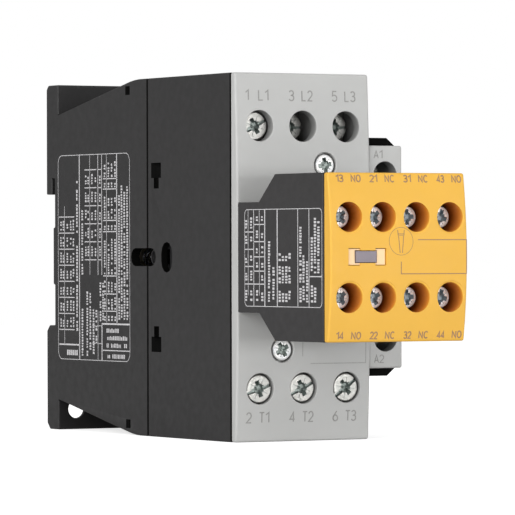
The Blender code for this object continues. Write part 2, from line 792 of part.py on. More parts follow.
def build_aux_mechanism():
    slider = box("aux_slider", (-20.6, 11.4), (SLIDER_FRONT, SLIDER_BACK), (-2.4, 2.4))
    join(slider, [box("stem", (-7.7, -1.7), (SLIDER_BACK - 1, AUX_BACK - 0.8), (-2.6, 2.6))])
    window = (-112.5, -103.0)
    cut(slider, [box("window", (pole - 2.9, pole + 2.9), window, (-4, 4)) for pole in AUX_POLES])
    keep(slider, "dark_plastic")
    bar = (-134.0, SLIDER_FRONT - GAP)
    indicator = box("position_indicator", (-15.95, -10.6), bar, (-1.13, 1.43))
    keep(indicator, "indicator_plastic")
    thickness, tip, over_travel = 1.0, 0.7, 1.5
    for number, pole in enumerate(AUX_POLES):
        if number in AUX_NORMALLY_CLOSED:
            back, towards = window[0] + GAP + over_travel + thickness, -1
        else:
            back, towards = window[1] - GAP, 1
        shape = bridge_outline(back, thickness, tip, 6.4, 4.4, 6.0, towards)
        bridge = outline(f"aux_bridge_{number + 1}", shape, "X", (pole - 1.7, pole + 1.7))
        keep(bridge, "copper")


def build_aux_screws():
    mesh = screw_mesh("aux_screw", AUX_HEAD_RADIUS, 2.0, 1.5, 10.0, 1.2)
    for number, pole in enumerate(AUX_POLES, 1):
        for name, z in (("top", AUX_TERMINAL_Z), ("bottom", -AUX_TERMINAL_Z)):
            place_screw(f"aux_terminal_screw_{name}_{number}", mesh, pole, AUX_HEAD_FRONT, z)


clear_scene()
CONTACTOR = new_collection("din_rail_contactor")
CUTTERS = new_collection("cutters")
SCRATCH = new_collection("scratch")
build_rear_housing()
build_rail_latch()
build_front_housing()
build_front_cover()
build_coil_terminal_cover()
build_main_terminals()
build_coil_terminals()
build_cover_screws()
build_magnet()
build_coil()
build_contact_carrier()
build_main_bridges()
build_return_springs()
build_aux_housing()
build_aux_front_cap()
build_aux_mechanism()
build_aux_screws()
bpy.data.collections.remove(SCRATCH)
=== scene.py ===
"""Looks of a three-pole DIN rail contactor with an auxiliary contact block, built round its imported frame.

Lengths are in millimetres and become metres where a mesh is made. +X is to the right of the front face,
+Y points to the rail, +Z is up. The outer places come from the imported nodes' boxes; the numbers are for
details that the CAD leaves out.
"""

import json
import math
import random
from typing import NamedTuple

import bmesh
import bpy
from mathutils import Matrix, Vector

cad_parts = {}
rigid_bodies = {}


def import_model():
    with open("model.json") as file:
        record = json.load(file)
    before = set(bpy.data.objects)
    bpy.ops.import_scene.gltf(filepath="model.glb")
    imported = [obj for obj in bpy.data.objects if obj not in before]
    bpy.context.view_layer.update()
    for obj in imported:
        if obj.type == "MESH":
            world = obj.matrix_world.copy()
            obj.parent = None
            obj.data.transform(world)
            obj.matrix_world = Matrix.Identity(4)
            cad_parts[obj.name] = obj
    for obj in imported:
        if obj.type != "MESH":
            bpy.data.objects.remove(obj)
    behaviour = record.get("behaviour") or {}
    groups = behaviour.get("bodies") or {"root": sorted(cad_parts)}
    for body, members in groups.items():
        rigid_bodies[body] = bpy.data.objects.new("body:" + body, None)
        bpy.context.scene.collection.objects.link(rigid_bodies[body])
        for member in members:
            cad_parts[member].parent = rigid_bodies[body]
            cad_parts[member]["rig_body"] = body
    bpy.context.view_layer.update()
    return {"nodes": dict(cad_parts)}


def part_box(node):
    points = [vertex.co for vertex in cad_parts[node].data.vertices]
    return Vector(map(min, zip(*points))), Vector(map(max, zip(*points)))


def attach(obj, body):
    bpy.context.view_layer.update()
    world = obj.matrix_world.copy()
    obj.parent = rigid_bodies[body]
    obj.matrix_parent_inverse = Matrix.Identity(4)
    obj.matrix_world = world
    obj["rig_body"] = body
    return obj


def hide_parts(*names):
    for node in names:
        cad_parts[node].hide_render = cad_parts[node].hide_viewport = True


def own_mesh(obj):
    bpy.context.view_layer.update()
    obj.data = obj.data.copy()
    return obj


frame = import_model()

MM = 0.001
X, Y, Z = range(3)
FRONT = (0, -1, 0)
DIGITS = 4


def span(node, axis):
    """A CAD node's lowest and highest value along an axis."""
    low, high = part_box(node)
    return round(low[axis] / MM, DIGITS), round(high[axis] / MM, DIGITS)


def centre(node):
    return [sum(span(node, axis)) / 2 for axis in (X, Y, Z)]


def seats(screws):
    """The (x, z) places of the axes of several screws."""
    return [(x, z) for x, _, z in map(centre, screws)]


def body_of(node):
    return frame["nodes"][node]["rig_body"]


LEFT, RIGHT = SIDES = span("front_housing", X)
BOTTOM, TOP = span("front_housing", Z)
HOUSING_FRONT, HOUSING_BACK = span("front_housing", Y)
SEAM, BACK = span("rear_housing", Y)
COVER_CROWN, COVER_BACK = span("front_cover", Y)
COVER_RIGHT = span("front_cover", X)[1]
COVER_RISE = 1.2
CAP_CROWN = span("aux_front_cap", Y)[0]
CAP_RIGHT = span("aux_front_cap", X)[1]
CAP_TOP = span("aux_front_cap", Z)[1]
AUX_FRONT, AUX_HOOKS = span("aux_housing", Y)
CAP_RISE = 1.5
COIL_COVER_FRONT, COIL_COVER_BACK = span("coil_terminal_cover", Y)
COVER_SCREW_SEAT = -90.6
CAP_PLATE_BACK = -132.0
CAP_WELL = 3.35
WINDOW_X, WINDOW_Z = (-17.95, -8.15), (-1.8, 2.05)
WINDOW_BAR = (-14.85, -11.0)
WINDOW_FLOOR = -134.75
INDICATOR_FRONT = -135.0
FACE_GROOVE_END = -60.4
PRINT_PROUD, PRINT_SUNK = 0.02, 0.05

POLES = ("l1", "l2", "l3", "t1", "t2", "t3")
COILS = ("a1", "a2")
TERMINAL_SCREWS = [f"terminal_screw_{name}" for name in POLES]
COIL_SCREWS = [f"coil_terminal_screw_{name}" for name in COILS]
COVER_SCREWS = ["cover_screw_top", "cover_screw_bottom"]
AUX_SCREWS = [f"aux_terminal_screw_{row}_{number}" for row in ("top", "bottom") for number in (1, 2, 3, 4)]
SCREW_SPINS = dict(zip(
    TERMINAL_SCREWS + COIL_SCREWS + COVER_SCREWS + AUX_SCREWS,
    (28, 2, 5, 18, 25, 36, 25, -20, 10, 30, 45, 40, 3, -20, 40, 28, 5, -15),
))


# ---------------------------------------------------------------- materials


class Nodes:
    """Short calls for one material's node tree."""

    def __init__(self, name):
        self.material = bpy.data.materials.new(name)
        self.material.use_nodes = True
        self.tree = self.material.node_tree
        self.shader = self.tree.nodes["Principled BSDF"]
        self.place = self.add("ShaderNodeTexCoord").outputs["Object"]

    def add(self, kind, **values):
        made = self.tree.nodes.new(kind)
        for key, value in values.items():
            if key in made.inputs:
                made.inputs[key].default_value = value
            else:
                setattr(made, key, value)
        return made

    def link(self, source, target):
        self.tree.links.new(source, target)

    def noise(self, scale, detail=3.0, stretch=None):
        """Noise with about scale patches in a millimetre."""
        made = self.add("ShaderNodeTexNoise", Scale=scale / MM, Detail=detail)
        if stretch:
            mapping = self.add("ShaderNodeMapping")
            mapping.inputs["Scale"].default_value = stretch
            self.link(self.place, mapping.inputs["Vector"])
            self.link(mapping.outputs["Vector"], made.inputs["Vector"])
        else:
            self.link(self.place, made.inputs["Vector"])
        return made.outputs["Fac"]

    def bands(self, period, direction, distortion=0.0):
        """Regular bands, a period apart in millimetres."""
        made = self.add("ShaderNodeTexWave", Distortion=distortion)
        made.inputs["Scale"].default_value = math.pi / 10 / (period * MM)
        made.bands_direction = direction
        self.link(self.place, made.inputs["Vector"])
        return made.outputs["Fac"]

    def ramp(self, factor, stops):
        """A colour ramp from (position, colour) stops."""
        made = self.add("ShaderNodeValToRGB")
        elements = made.color_ramp.elements
        while len(elements) < len(stops):
            elements.new(0.5)
        for element, (position, colour) in zip(elements, stops):
            element.position = position
            element.color = (*colour, 1.0)
        self.link(factor, made.inputs["Fac"])
        return made.outputs["Color"]

    def colour(self, factor, low, high, start=0.35, end=0.65):
        self.link(self.ramp(factor, [(start, low), (end, high)]), self.shader.inputs["Base Color"])

    def mapped(self, value, source, target=(0.0, 1.0)):
        """Values of a source range brought to a target range."""
        made = self.add("ShaderNodeMapRange")
        for name, limit in zip(("From Min", "From Max", "To Min", "To Max"), source + target):
            made.inputs[name].default_value = limit
        self.link(value, made.inputs["Value"])
        return made.outputs["Result"]

    def roughness(self, factor, low, high):
        self.link(self.mapped(factor, (0.3, 0.7), (low, high)), self.shader.inputs["Roughness"])

    def bump(self, factors, strength):
        """Bumps laid one over the other, from (height output, depth in millimetres)."""
        normal = None
        for factor, depth in factors:
            made = self.add("ShaderNodeBump")
            made.inputs["Strength"].default_value = strength
            made.inputs["Distance"].default_value = depth * MM
            self.link(factor, made.inputs["Height"])
            if normal:
                self.link(normal, made.inputs["Normal"])
            normal = made.outputs["Normal"]
        self.link(normal, self.shader.inputs["Normal"])

    def depth(self, front, back):
        """From 0 to 1 between two places along Y, in millimetres."""
        split = self.add("ShaderNodeSeparateXYZ")
        self.link(self.place, split.inputs["Vector"])
        return self.mapped(split.outputs["Y"], (front * MM, back * MM))

    def set(self, **values):
        for key, value in values.items():
            self.shader.inputs[key.replace("_", " ")].default_value = value
        return self.material


def shade(colour, factor):
    return tuple(channel * factor for channel in colour)


def moulded_plastic(name, colour, rough, variation=0.06, grain_depth=0.012, specular=0.5):
    """Moulded plastic: a fine spark-eroded grain, faint flow marks and uneven gloss."""
    nodes = Nodes(name)
    flow = nodes.noise(0.12, 4.0, (1.0, 0.6, 1.6))
    grain = nodes.noise(4.5, 2.0)
    nodes.colour(flow, shade(colour, 1 - variation), shade(colour, 1 + variation))
    nodes.roughness(nodes.noise(0.5, 5.0), rough - 0.05, rough + 0.07)
    nodes.bump([(grain, grain_depth), (nodes.noise(0.9), 0.01)], 0.5)
    return nodes.set(Specular_IOR_Level=specular)


def well_plastic(name, front, stops):
    """The wall of a screw's well: the polish of its core pin, and painted shade that darkens its colour
    inwards.
    """
    nodes = Nodes(name)
    back = front + stops[-1][0]
    ramp = [(depth / stops[-1][0], colour) for depth, colour in stops]
    nodes.link(nodes.ramp(nodes.depth(front, back), ramp), nodes.shader.inputs["Base Color"])
    nodes.roughness(nodes.noise(0.7, 4.0), 0.42, 0.55)
    nodes.bump([(nodes.noise(3.0, 2.0), 0.008)], 0.4)
    return nodes.set(Specular_IOR_Level=0.35)


def metal(name, colour, tint, rough, brush=(1.0, 1.0, 1.0), depth=0.01, metallic=1.0):
    """Metal with a tinted coat that varies from place to place and fine tool marks."""
    nodes = Nodes(name)
    nodes.colour(nodes.noise(0.35, 4.0), colour, tint, 0.3, 0.7)
    marks = nodes.noise(5.0, 3.0, brush)
    nodes.roughness(nodes.noise(1.4, 4.0), rough - 0.08, rough + 0.1)
    nodes.bump([(marks, depth), (nodes.noise(0.8, 2.0), depth)], 0.4)
    return nodes.set(Metallic=metallic)


def turned_metal():
    """Zinc-plated steel with the fine rings that turning leaves round a piece's own Z axis."""
    nodes = Nodes("zinc_plated_steel")
    rings = nodes.add("ShaderNodeTexWave", wave_type="RINGS", Distortion=0.6)
    rings.rings_direction = "Z"
    rings.inputs["Scale"].default_value = math.pi / 10 / (0.22 * MM)
    nodes.link(nodes.place, rings.inputs["Vector"])
    nodes.colour(nodes.noise(0.5, 4.0), (0.50, 0.49, 0.465), (0.435, 0.44, 0.42), 0.3, 0.7)
    nodes.roughness(nodes.noise(1.6, 4.0), 0.34, 0.5)
    nodes.bump([(rings.outputs["Fac"], 0.02), (nodes.noise(2.2, 3.0), 0.02)], 0.45)
    return nodes.set(Metallic=1.0)


def laminated_steel():
    """Core steel made of thin sheets that lie across X."""
    nodes = Nodes("core_steel_sheets")
    sheets = nodes.bands(0.5, "X")
    dark, light = (0.13, 0.13, 0.14), (0.42, 0.42, 0.43)
    nodes.colour(sheets, dark, light, 0.05, 0.3)
    nodes.roughness(nodes.noise(1.2, 4.0), 0.35, 0.55)
    nodes.bump([(sheets, 0.05), (nodes.noise(4.0), 0.01)], 0.6)
    return nodes.set(Metallic=1.0)


def wound_wire():
    """Enamelled wire wound round the bobbin, one turn beside the next along Y."""
    nodes = Nodes("winding_enamel")
    turns = nodes.bands(0.22, "Y", 0.4)
    nodes.colour(turns, (0.16, 0.045, 0.015), (0.62, 0.23, 0.08), 0.1, 0.7)
    nodes.roughness(nodes.noise(1.0, 3.0), 0.25, 0.4)
    nodes.bump([(turns, 0.08)], 0.8)
    return nodes.set(Metallic=0.6, Coat_Weight=0.6)


def ink(name, colour):
    """Printing ink or a laser mark: thin, dull and a little uneven."""
    nodes = Nodes(name)
    nodes.colour(nodes.noise(3.0, 3.0), shade(colour, 0.88), shade(colour, 1.05))
    nodes.roughness(nodes.noise(2.0), 0.5, 0.7)
    return nodes.set(Specular_IOR_Level=0.3)


def stage_paper():
    """Pale paper that the camera sees a little brighter than the object does, as a lit sweep would be."""
    nodes = Nodes("stage_paper")
    nodes.colour(nodes.noise(0.02, 2.0), (0.80, 0.80, 0.80), (0.83, 0.83, 0.83))
    nodes.roughness(nodes.noise(0.05), 0.85, 0.95)
    seen = nodes.add("ShaderNodeLightPath").outputs["Is Camera Ray"]
    glow = nodes.add("ShaderNodeMath", operation="MULTIPLY")
    nodes.link(seen, glow.inputs[0])
    glow.inputs[1].default_value = 0.7
    nodes.link(glow.outputs[0], nodes.shader.inputs["Emission Strength"])
    return nodes.set(Specular_IOR_Level=0.1, Emission_Color=(1, 1, 1, 1))


BLACK = moulded_plastic("black_polyamide", (0.0150, 0.0142, 0.0146), 0.46)
# Painted shade: a darker copy of the black polyamide for faces towards the front and for seams, pockets and
# hollows, where shade falls.
BLACK_SHADE = moulded_plastic("black_polyamide_painted_shade", (0.0030, 0.0030, 0.0028), 0.6, specular=0.05)
AUX_BLACK = moulded_plastic("aux_black_polyamide", (0.024, 0.0225, 0.023), 0.48)
GREY = moulded_plastic("grey_polyamide", (0.480, 0.482, 0.472), 0.48, 0.015, 0.008)
YELLOW = moulded_plastic("yellow_polyamide", (0.775, 0.432, 0.053), 0.5, 0.015, 0.008, 0.4)
# Painted shade: well walls lit at the rim and darker with depth, grey in the main covers and yellow in the
# cap.
GREY_WELL_SHADE = well_plastic("grey_well_painted_shade", COVER_CROWN + 0.6, (
    (0.0, (0.50, 0.50, 0.49)), (0.35, (0.36, 0.36, 0.352)), (0.9, (0.25, 0.25, 0.245)),
    (1.8, (0.22, 0.22, 0.215)), (3.2, (0.19, 0.19, 0.186)), (7.0, (0.17, 0.17, 0.167)),
))
YELLOW_WELL_SHADE = well_plastic("yellow_well_painted_shade", CAP_CROWN + 0.35, (
    (0.0, (0.84, 0.44, 0.05)), (0.4, (0.74, 0.30, 0.028)), (1.2, (0.62, 0.205, 0.018)),
    (2.6, (0.50, 0.145, 0.012)), (4.2, (0.40, 0.110, 0.010)), (7.0, (0.30, 0.080, 0.008)),
))
DARK = moulded_plastic("dark_polyamide", (0.011, 0.011, 0.012), 0.5)
NATURAL = moulded_plastic("natural_polyester", (0.74, 0.66, 0.52), 0.42, 0.04)
PEACH = moulded_plastic("pale_window_floor", (0.93, 0.66, 0.38), 0.5, 0.03)
INDICATOR = moulded_plastic("indicator_plastic", (0.235, 0.205, 0.235), 0.5, 0.05)
RUBBER = moulded_plastic("damper_rubber", (0.03, 0.03, 0.03), 0.8, 0.1, 0.03, 0.3)
ZINC = turned_metal()
# Painted shade and painted reflection: darker, tinted zinc for the faces inside the screws' cross recesses
# and slots.
RECESS_SHADE = metal("zinc_recess_painted_shade", (0.17, 0.20, 0.185), (0.28, 0.32, 0.30), 0.4, depth=0.02, metallic=0.5)
AUX_ZINC = metal("small_zinc_steel", (0.95, 0.93, 0.90), (0.62, 0.64, 0.66), 0.32, depth=0.03, metallic=0.25)
AUX_RECESS_SHADE = metal(
    "small_zinc_recess_painted_shade", (0.24, 0.31, 0.35), (0.42, 0.51, 0.56), 0.36, depth=0.03, metallic=0.3
)
SPRING = metal("spring_wire", (0.55, 0.55, 0.56), (0.45, 0.46, 0.48), 0.28)
COPPER = metal("contact_copper", (0.80, 0.43, 0.26), (0.70, 0.36, 0.21), 0.3, (0.2, 1.0, 3.0))
SILVER = metal("contact_silver", (0.86, 0.85, 0.82), (0.74, 0.73, 0.70), 0.25)
CORE = laminated_steel()
WINDING = wound_wire()
WHITE_INK = ink("white_mark", (0.62, 0.61, 0.62))
GREY_INK = ink("grey_mark", (0.315, 0.31, 0.30))
PALE_INK = ink("pale_mark", (0.36, 0.36, 0.35))
BROWN_INK = ink("brown_mark", (0.34, 0.20, 0.115))


# ---------------------------------------------------------------- shapes


def linked(name, mesh):
    obj = bpy.data.objects.new(name, mesh)
    bpy.context.scene.collection.objects.link(obj)
    return obj


def from_bmesh(bm, name):
    bmesh.ops.recalc_face_normals(bm, faces=bm.faces)
    mesh = bpy.data.meshes.new(name)
    bm.to_mesh(mesh)
    bm.free()
    return linked(name, mesh)


def bake(obj):
    """Replaces an object's mesh by its evaluated one, with no modifiers left."""
    bpy.context.view_layer.update()
    graph = bpy.context.evaluated_depsgraph_get()
    mesh = bpy.data.meshes.new_from_object(obj.evaluated_get(graph))
    obj.modifiers.clear()
    obj.data = mesh
    return obj


def prism(name, points, axis, limits):
    """A closed outline made thick. Its points are (y, z) on axis X, (x, z) on Y and (x, y) on Z."""
    bm = bmesh.new()
    rings = []
    for level in limits:
        corners = [list(point) for point in points]
        for corner in corners:
            corner.insert(axis, level)
        rings.append([bm.verts.new(Vector(corner) * MM) for corner in corners])
    for ring in rings:
        bm.faces.new(ring)
    for index in range(len(points)):
        last = index - 1
        bm.faces.new((rings[0][last], rings[0][index], rings[1][index], rings[1][last]))
    return from_bmesh(bm, name)


def block(name, x, y, z):
    """A box between two limits on each axis."""
    return prism(name, [(x[0], y[0]), (x[1], y[0]), (x[1], y[1]), (x[0], y[1])], Z, z)


def turned(name, profile, steps=40):
    """A turned solid about local Z, through (radius, height) points that start and end on the axis."""
    bm = bmesh.new()
    rings = []
    for radius, height in profile:
        count = steps if radius > 0 else 1
        angles = [2 * math.pi * step / steps for step in range(count)]
        ring = [(radius * math.cos(a), radius * math.sin(a), height) for a in angles]
        rings.append([bm.verts.new(Vector(point) * MM) for point in ring])
    for lower, upper in zip(rings, rings[1:]):
        for step in range(steps):
            nxt = (step + 1) % steps
            corners = [lower[step % len(lower)], lower[nxt % len(lower)]]
            corners += [upper[nxt % len(upper)], upper[step % len(upper)]]
            corners = list(dict.fromkeys(corners))
            if len(corners) > 2:
                bm.faces.new(corners)
    return from_bmesh(bm, name)


def arc(centre_point, radius, start, end, steps):
    """Points of an arc, with its angles in degrees."""
    angles = [math.radians(start + (end - start) * step / steps) for step in range(steps + 1)]
    return [
        (centre_point[0] + radius * math.cos(a), centre_point[1] + radius * math.sin(a))
        for a in angles
    ]


def rounded_rectangle(u, v, radius, steps=6):
    corners = ((u[1], v[1], 0), (u[0], v[1], 90), (u[0], v[0], 180), (u[1], v[0], 270))
    points = []
    for corner_u, corner_v, start in corners:
        inner_u = corner_u - radius if corner_u == max(u) else corner_u + radius
        inner_v = corner_v - radius if corner_v == max(v) else corner_v + radius
        points += arc((inner_u, inner_v), radius, start, start + 90, steps)
    return points


def aim(obj, at, towards=FRONT, spin=0.0):
    """Puts an object's origin at a point, with its local Z towards a direction, turned about it by spin."""
    turn = Vector(towards).to_track_quat("Z", "Y").to_matrix().to_4x4()
    obj.matrix_world = (
        Matrix.Translation(Vector(at) * MM) @ turn @ Matrix.Rotation(math.radians(spin), 4, "Z")
    )
    return obj


def carve(obj, operation, others):
    """One Boolean with all the given solids, which it uses up."""
    holder = bpy.data.collections.new(f"{obj.name}_{operation}")
    bpy.context.scene.collection.children.link(holder)
    for other in others:
        bpy.context.scene.collection.objects.unlink(other)
        holder.objects.link(other)
    step = obj.modifiers.new(operation, "BOOLEAN")
    step.operation = operation
    step.operand_type = "COLLECTION"
    step.collection = holder
    bake(obj)
    for other in others:
        bpy.data.objects.remove(other, do_unlink=True)
    bpy.data.collections.remove(holder)
    return obj


def cut(obj, cutters):
    return carve(obj, "DIFFERENCE", cutters)


def join(obj, others):
    return carve(obj, "UNION", others)


def soften(obj, width, segments=3, angle=25):
    """Rounds every edge that is sharper than an angle."""
    step = obj.modifiers.new("soften", "BEVEL")
    step.width = width * MM
    step.segments = segments
    step.limit_method = "ANGLE"
    step.angle_limit = math.radians(angle)
    step.use_clamp_overlap = False
    step.miter_outer = "MITER_ARC"
    return bake(obj)


def weld(obj, flat_angle=0.5):
    """Welds a mesh and makes its flat faces whole again, unless the angle is None."""
    bm = bmesh.new()
    bm.from_mesh(obj.data)
    bmesh.ops.remove_doubles(bm, verts=bm.verts, dist=0.001 * MM)
    if flat_angle is not None:
        bmesh.ops.dissolve_limit(bm, angle_limit=math.radians(flat_angle), verts=bm.verts, edges=bm.edges)
    bm.to_mesh(obj.data)
    bm.free()
    return obj


def finished(obj, node, material, smooth=40, second=None, extra=False):
    """Gives a piece its finish and the body of a CAD node, which it stands for unless it is an extra."""
    if len(obj.data.materials) < 2:
        obj.data.materials.clear()
        obj.data.materials.append(material)
        if second:
            obj.data.materials.append(second)
    obj.data.shade_smooth()
    obj.data.set_sharp_from_angle(angle=math.radians(smooth))
    weighted = obj.modifiers.new("weighted", "WEIGHTED_NORMAL")
    weighted.keep_sharp = True
    if not extra:
        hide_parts(node)
    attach(obj, body_of(node))
    return obj


def copy_of(node, flat_angle):
    """A welded copy of a CAD node without its materials."""
    copy = weld(linked(f"{node}_fine", frame["nodes"][node].data.copy()), flat_angle)
    copy.data.materials.clear()
    return copy


def refined(node, width, material, cutters=(), second=None):
    """A copy of a CAD node with whole flat faces and rounded edges, which stands for it."""
    copy = copy_of(node, 0.5)
    if cutters:
        weld(cut(copy, list(cutters)))
    soften(copy, width, 2)
    return finished(copy, node, material, second=second)


def paint(obj, rule):
    """Gives the second material to the faces whose middle, in millimetres, and normal satisfy a rule."""
    for face in obj.data.polygons:
        face.material_index = int(rule(face.center / MM, face.normal))


def tube(name, path, radius, sides=8):
    """A closed round wire along a path of points."""
    bm = bmesh.new()
    points = [Vector(point) for point in path]
    side = None
    rings = []
    for index, point in enumerate(points):
        ahead = points[min(index + 1, len(points) - 1)]
        behind = points[max(index - 1, 0)]
        tangent = (ahead - behind).normalized()
        if side is None:
            side = tangent.orthogonal().normalized()
        side = (side - tangent * side.dot(tangent)).normalized()
        other = tangent.cross(side)
        ring = []
        for step in range(sides):
            angle = 2 * math.pi * step / sides
            offset = side * math.cos(angle) + other * math.sin(angle)
            ring.append(bm.verts.new((point + offset * radius) * MM))
        rings.append(ring)
    for lower, upper in zip(rings, rings[1:]):
        for step in range(sides):
            nxt = (step + 1) % sides
            bm.faces.new((lower[step], lower[nxt], upper[nxt], upper[step]))
    bm.faces.new(rings[0])
    bm.faces.new(rings[-1])
    return from_bmesh(bm, name)


# ---------------------------------------------------------------- front surfaces


def crown(edge, rise, half):
    """The bowed front of a cover: its Y at a height Z."""
    return lambda z: edge - rise * (1 - (z / half) ** 2)


def crown_normal(rise, half, z):
    return Vector((0, -1, 2 * rise * z / half**2)).normalized()


cover_surface = crown(COVER_CROWN + COVER_RISE, COVER_RISE, TOP)
cap_surface = crown(CAP_CROWN + CAP_RISE, CAP_RISE, CAP_TOP)


def crowned_plate(name, x, back, surface, half, edge_radius, steps=40):
    """A plate with a flat back and a bowed front, with all its outer edges rounded."""
    points = [(back, -half), (back, half)]
    for step in range(steps + 1):
        z = half * (1 - 2 * step / steps)
        points.append((surface(z), z))
    plate = prism(name, points, X, x)
    return soften(plate, edge_radius, 4, 30)


def flared_hole(x, z, radius, flare, surface, normal, depth):
    """A cutter for a round hole whose rim is rounded off into the surface round it."""
    lift = 0.02
    profile = [(0, 2.0), (radius + flare + 0.25, 2.0), (radius + flare + 0.25, lift + 0.06)]
    profile += arc((radius + flare, lift - flare), flare, 97, 180, 7)
    profile += [(radius, -depth), (0, -depth)]
    hole = turned("hole", profile, 56)
    return aim(hole, (x, surface(z), z), normal)


# ---------------------------------------------------------------- visible shells


def build_front_cover():
    cover = crowned_plate("front_cover_shell", (LEFT, COVER_RIGHT), COVER_BACK, cover_surface, TOP, 0.55)
    through = (COVER_CROWN - 2, COVER_BACK + 1)
    cutters = [block("nose_opening", (-9.0, -0.4), through, (-4.0, 4.0))]
    for z in ((9.3, 13.5), (-13.5, -9.3)):
        cutters.append(block("hook_slot", (-9.3, -0.1), through, z))
    well, small_well, shank_way = 3.6, 2.95, 1.7
    guards = []
    for x, z in seats(TERMINAL_SCREWS):
        normal = crown_normal(COVER_RISE, TOP, z)
        cutters.append(flared_hole(x, z, well, 0.22, cover_surface, normal, 8))
        guards += well_guards(x, z, (4.15, 4.6), COVER_BACK, 8.0, 5.0)
    for x, z in seats(COVER_SCREWS):
        normal = crown_normal(COVER_RISE, TOP, z)
        depth = COVER_SCREW_SEAT - cover_surface(z)
        cutters.append(flared_hole(x, z, small_well, 0.3, cover_surface, normal, depth))
        way = turned("way", [(0, 5), (shank_way, 5), (shank_way, -5), (0, -5)], 24)
        cutters.append(aim(way, (x, COVER_BACK, z)))
    cut(cover, cutters)
    join(cover, guards)
    finished(cover, "front_cover", GREY, 30, GREY_WELL_SHADE)
    # Painted shade on the wells' walls and on all that lies behind the cover.
    paint_wells(cover, TERMINAL_SCREWS + COVER_SCREWS, well + 0.1, COVER_BACK + 0.05)


def build_coil_cover():
    x, z = span("coil_terminal_cover", X), span("coil_terminal_cover", Z)
    y = (COIL_COVER_FRONT, COIL_COVER_BACK)
    cover = soften(block("coil_terminal_cover_shell", x, y, z), 0.5, 4)
    well = 3.1
    cutters, guards = [], []
    for at_x, at_z in seats(COIL_SCREWS):
        cutters.append(flared_hole(at_x, at_z, well, 0.2, lambda _: COIL_COVER_FRONT, FRONT, 6))
        guards += well_guards(at_x, at_z, (3.15, 3.5), COIL_COVER_BACK, 6.0, 4.0)
    cut(cover, cutters)
    join(cover, guards)
    finished(cover, "coil_terminal_cover", GREY, 30, GREY_WELL_SHADE)
    # Painted shade on the wells' walls and on all that lies behind the cover.
    paint_wells(cover, COIL_SCREWS, well + 0.1, COIL_COVER_BACK + 0.05)


def paint_wells(obj, screws, radius, behind):
    """Gives the walls of the screws' wells, and all that lies behind a place on Y, the second material,
    which is painted shade.
    """
    axes = seats(screws)

    def inside(middle, normal):
        near = any(math.hypot(middle.x - x, middle.z - z) < radius for x, z in axes)
        return (near and abs(normal.y) < 0.5) or middle.y > behind

    paint(obj, inside)


def well_guards(x, z, reach, back, depth, half):
    """The two plates behind a cover that line the sides of a terminal's well."""
    plates = []
    for side in (-1, 1):
        limits = sorted(x + side * end for end in reach)
        plates.append(block("guard", limits, (back - 0.4, back + depth), (z - half, z + half)))
    return plates


def build_aux_cap():
    cap = crowned_plate("aux_cap_shell", (LEFT, CAP_RIGHT), CAP_PLATE_BACK, cap_surface, CAP_TOP, 0.45)
    plug_back, plug_half, plug_inset = span("aux_front_cap", Y)[1], 17.35, 1.5
    plug_x = (LEFT + plug_inset, CAP_RIGHT - plug_inset)
    join(cap, [block("plug", plug_x, (CAP_PLATE_BACK - 0.6, plug_back), (-plug_half, plug_half))])
    bar_z, play = span("position_indicator", Z), 0.12
    halves = []
    for end, bar_end in ((0, bar_z[0] - play), (1, bar_z[1] + play)):
        outer = WINDOW_Z[end]
        left = [(WINDOW_X[0], outer), (WINDOW_BAR[0], outer), (WINDOW_BAR[0], bar_end)]
        right = [(WINDOW_BAR[1], bar_end), (WINDOW_BAR[1], outer), (WINDOW_X[1], outer)]
        halves.append(left + right)
    window = halves[0] + halves[1][::-1]
    cutters = [prism("window", window, Y, (CAP_CROWN - 2, plug_back + 1))]
    walls = []
    wall, wall_back = CAP_WELL + 0.24, -3.9
    for x, z in seats(AUX_SCREWS):
        tube_wall = turned("well_wall", [(0, 0), (wall, 0), (wall, wall_back), (0, wall_back)], 56)
        walls.append(aim(tube_wall, (x, CAP_PLATE_BACK - 0.1, z)))
        cutters.append(flared_hole(x, z, CAP_WELL, 0.2, cap_surface, FRONT, 9))
    join(cap, walls)
    cut(cap, cutters)
    finished(cap, "aux_front_cap", YELLOW, 30, YELLOW_WELL_SHADE)
    # Painted shade on the wells' walls and on all that lies behind the cap.
    paint_wells(cap, AUX_SCREWS, CAP_WELL + 0.1, plug_back + 1)


def build_indicator():
    """The bar that moves with the slider, and the window's floor with a way for the bar."""
    x, y, z = (span("position_indicator", axis) for axis in (X, Y, Z))
    bar = block("position_indicator_bar", x, (INDICATOR_FRONT, y[1]), z)
    soften(bar, 0.12, 2)
    finished(bar, "position_indicator", INDICATOR)
    play = 0.15
    floor_x, floor_z = ((low + play, high - play) for low, high in (WINDOW_X, WINDOW_Z))
    floor = block("indicator_window_floor", floor_x, (WINDOW_FLOOR, WINDOW_FLOOR + 1.0), floor_z)
    way_x, way_z = ((low - play, high + play) for low, high in (x, z))
    cut(floor, [block("way", way_x, (WINDOW_FLOOR - 1, WINDOW_FLOOR + 2), way_z)])
    soften(floor, 0.08, 2)
    finished(floor, "aux_front_cap", PEACH, extra=True)


def within_shell(node, shell, material, width, cutters=(), additions=(), second=None):
    """A copy of a CAD node cut down to a shell of the same size whose outer edges are rounded."""
    copy = copy_of(node, None)
    if cutters:
        cut(copy, list(cutters))
    carve(copy, "INTERSECT", [soften(shell, width, 3, 25)])
    if additions:
        join(copy, list(additions))
    return finished(weld(copy), node, material, second=second)


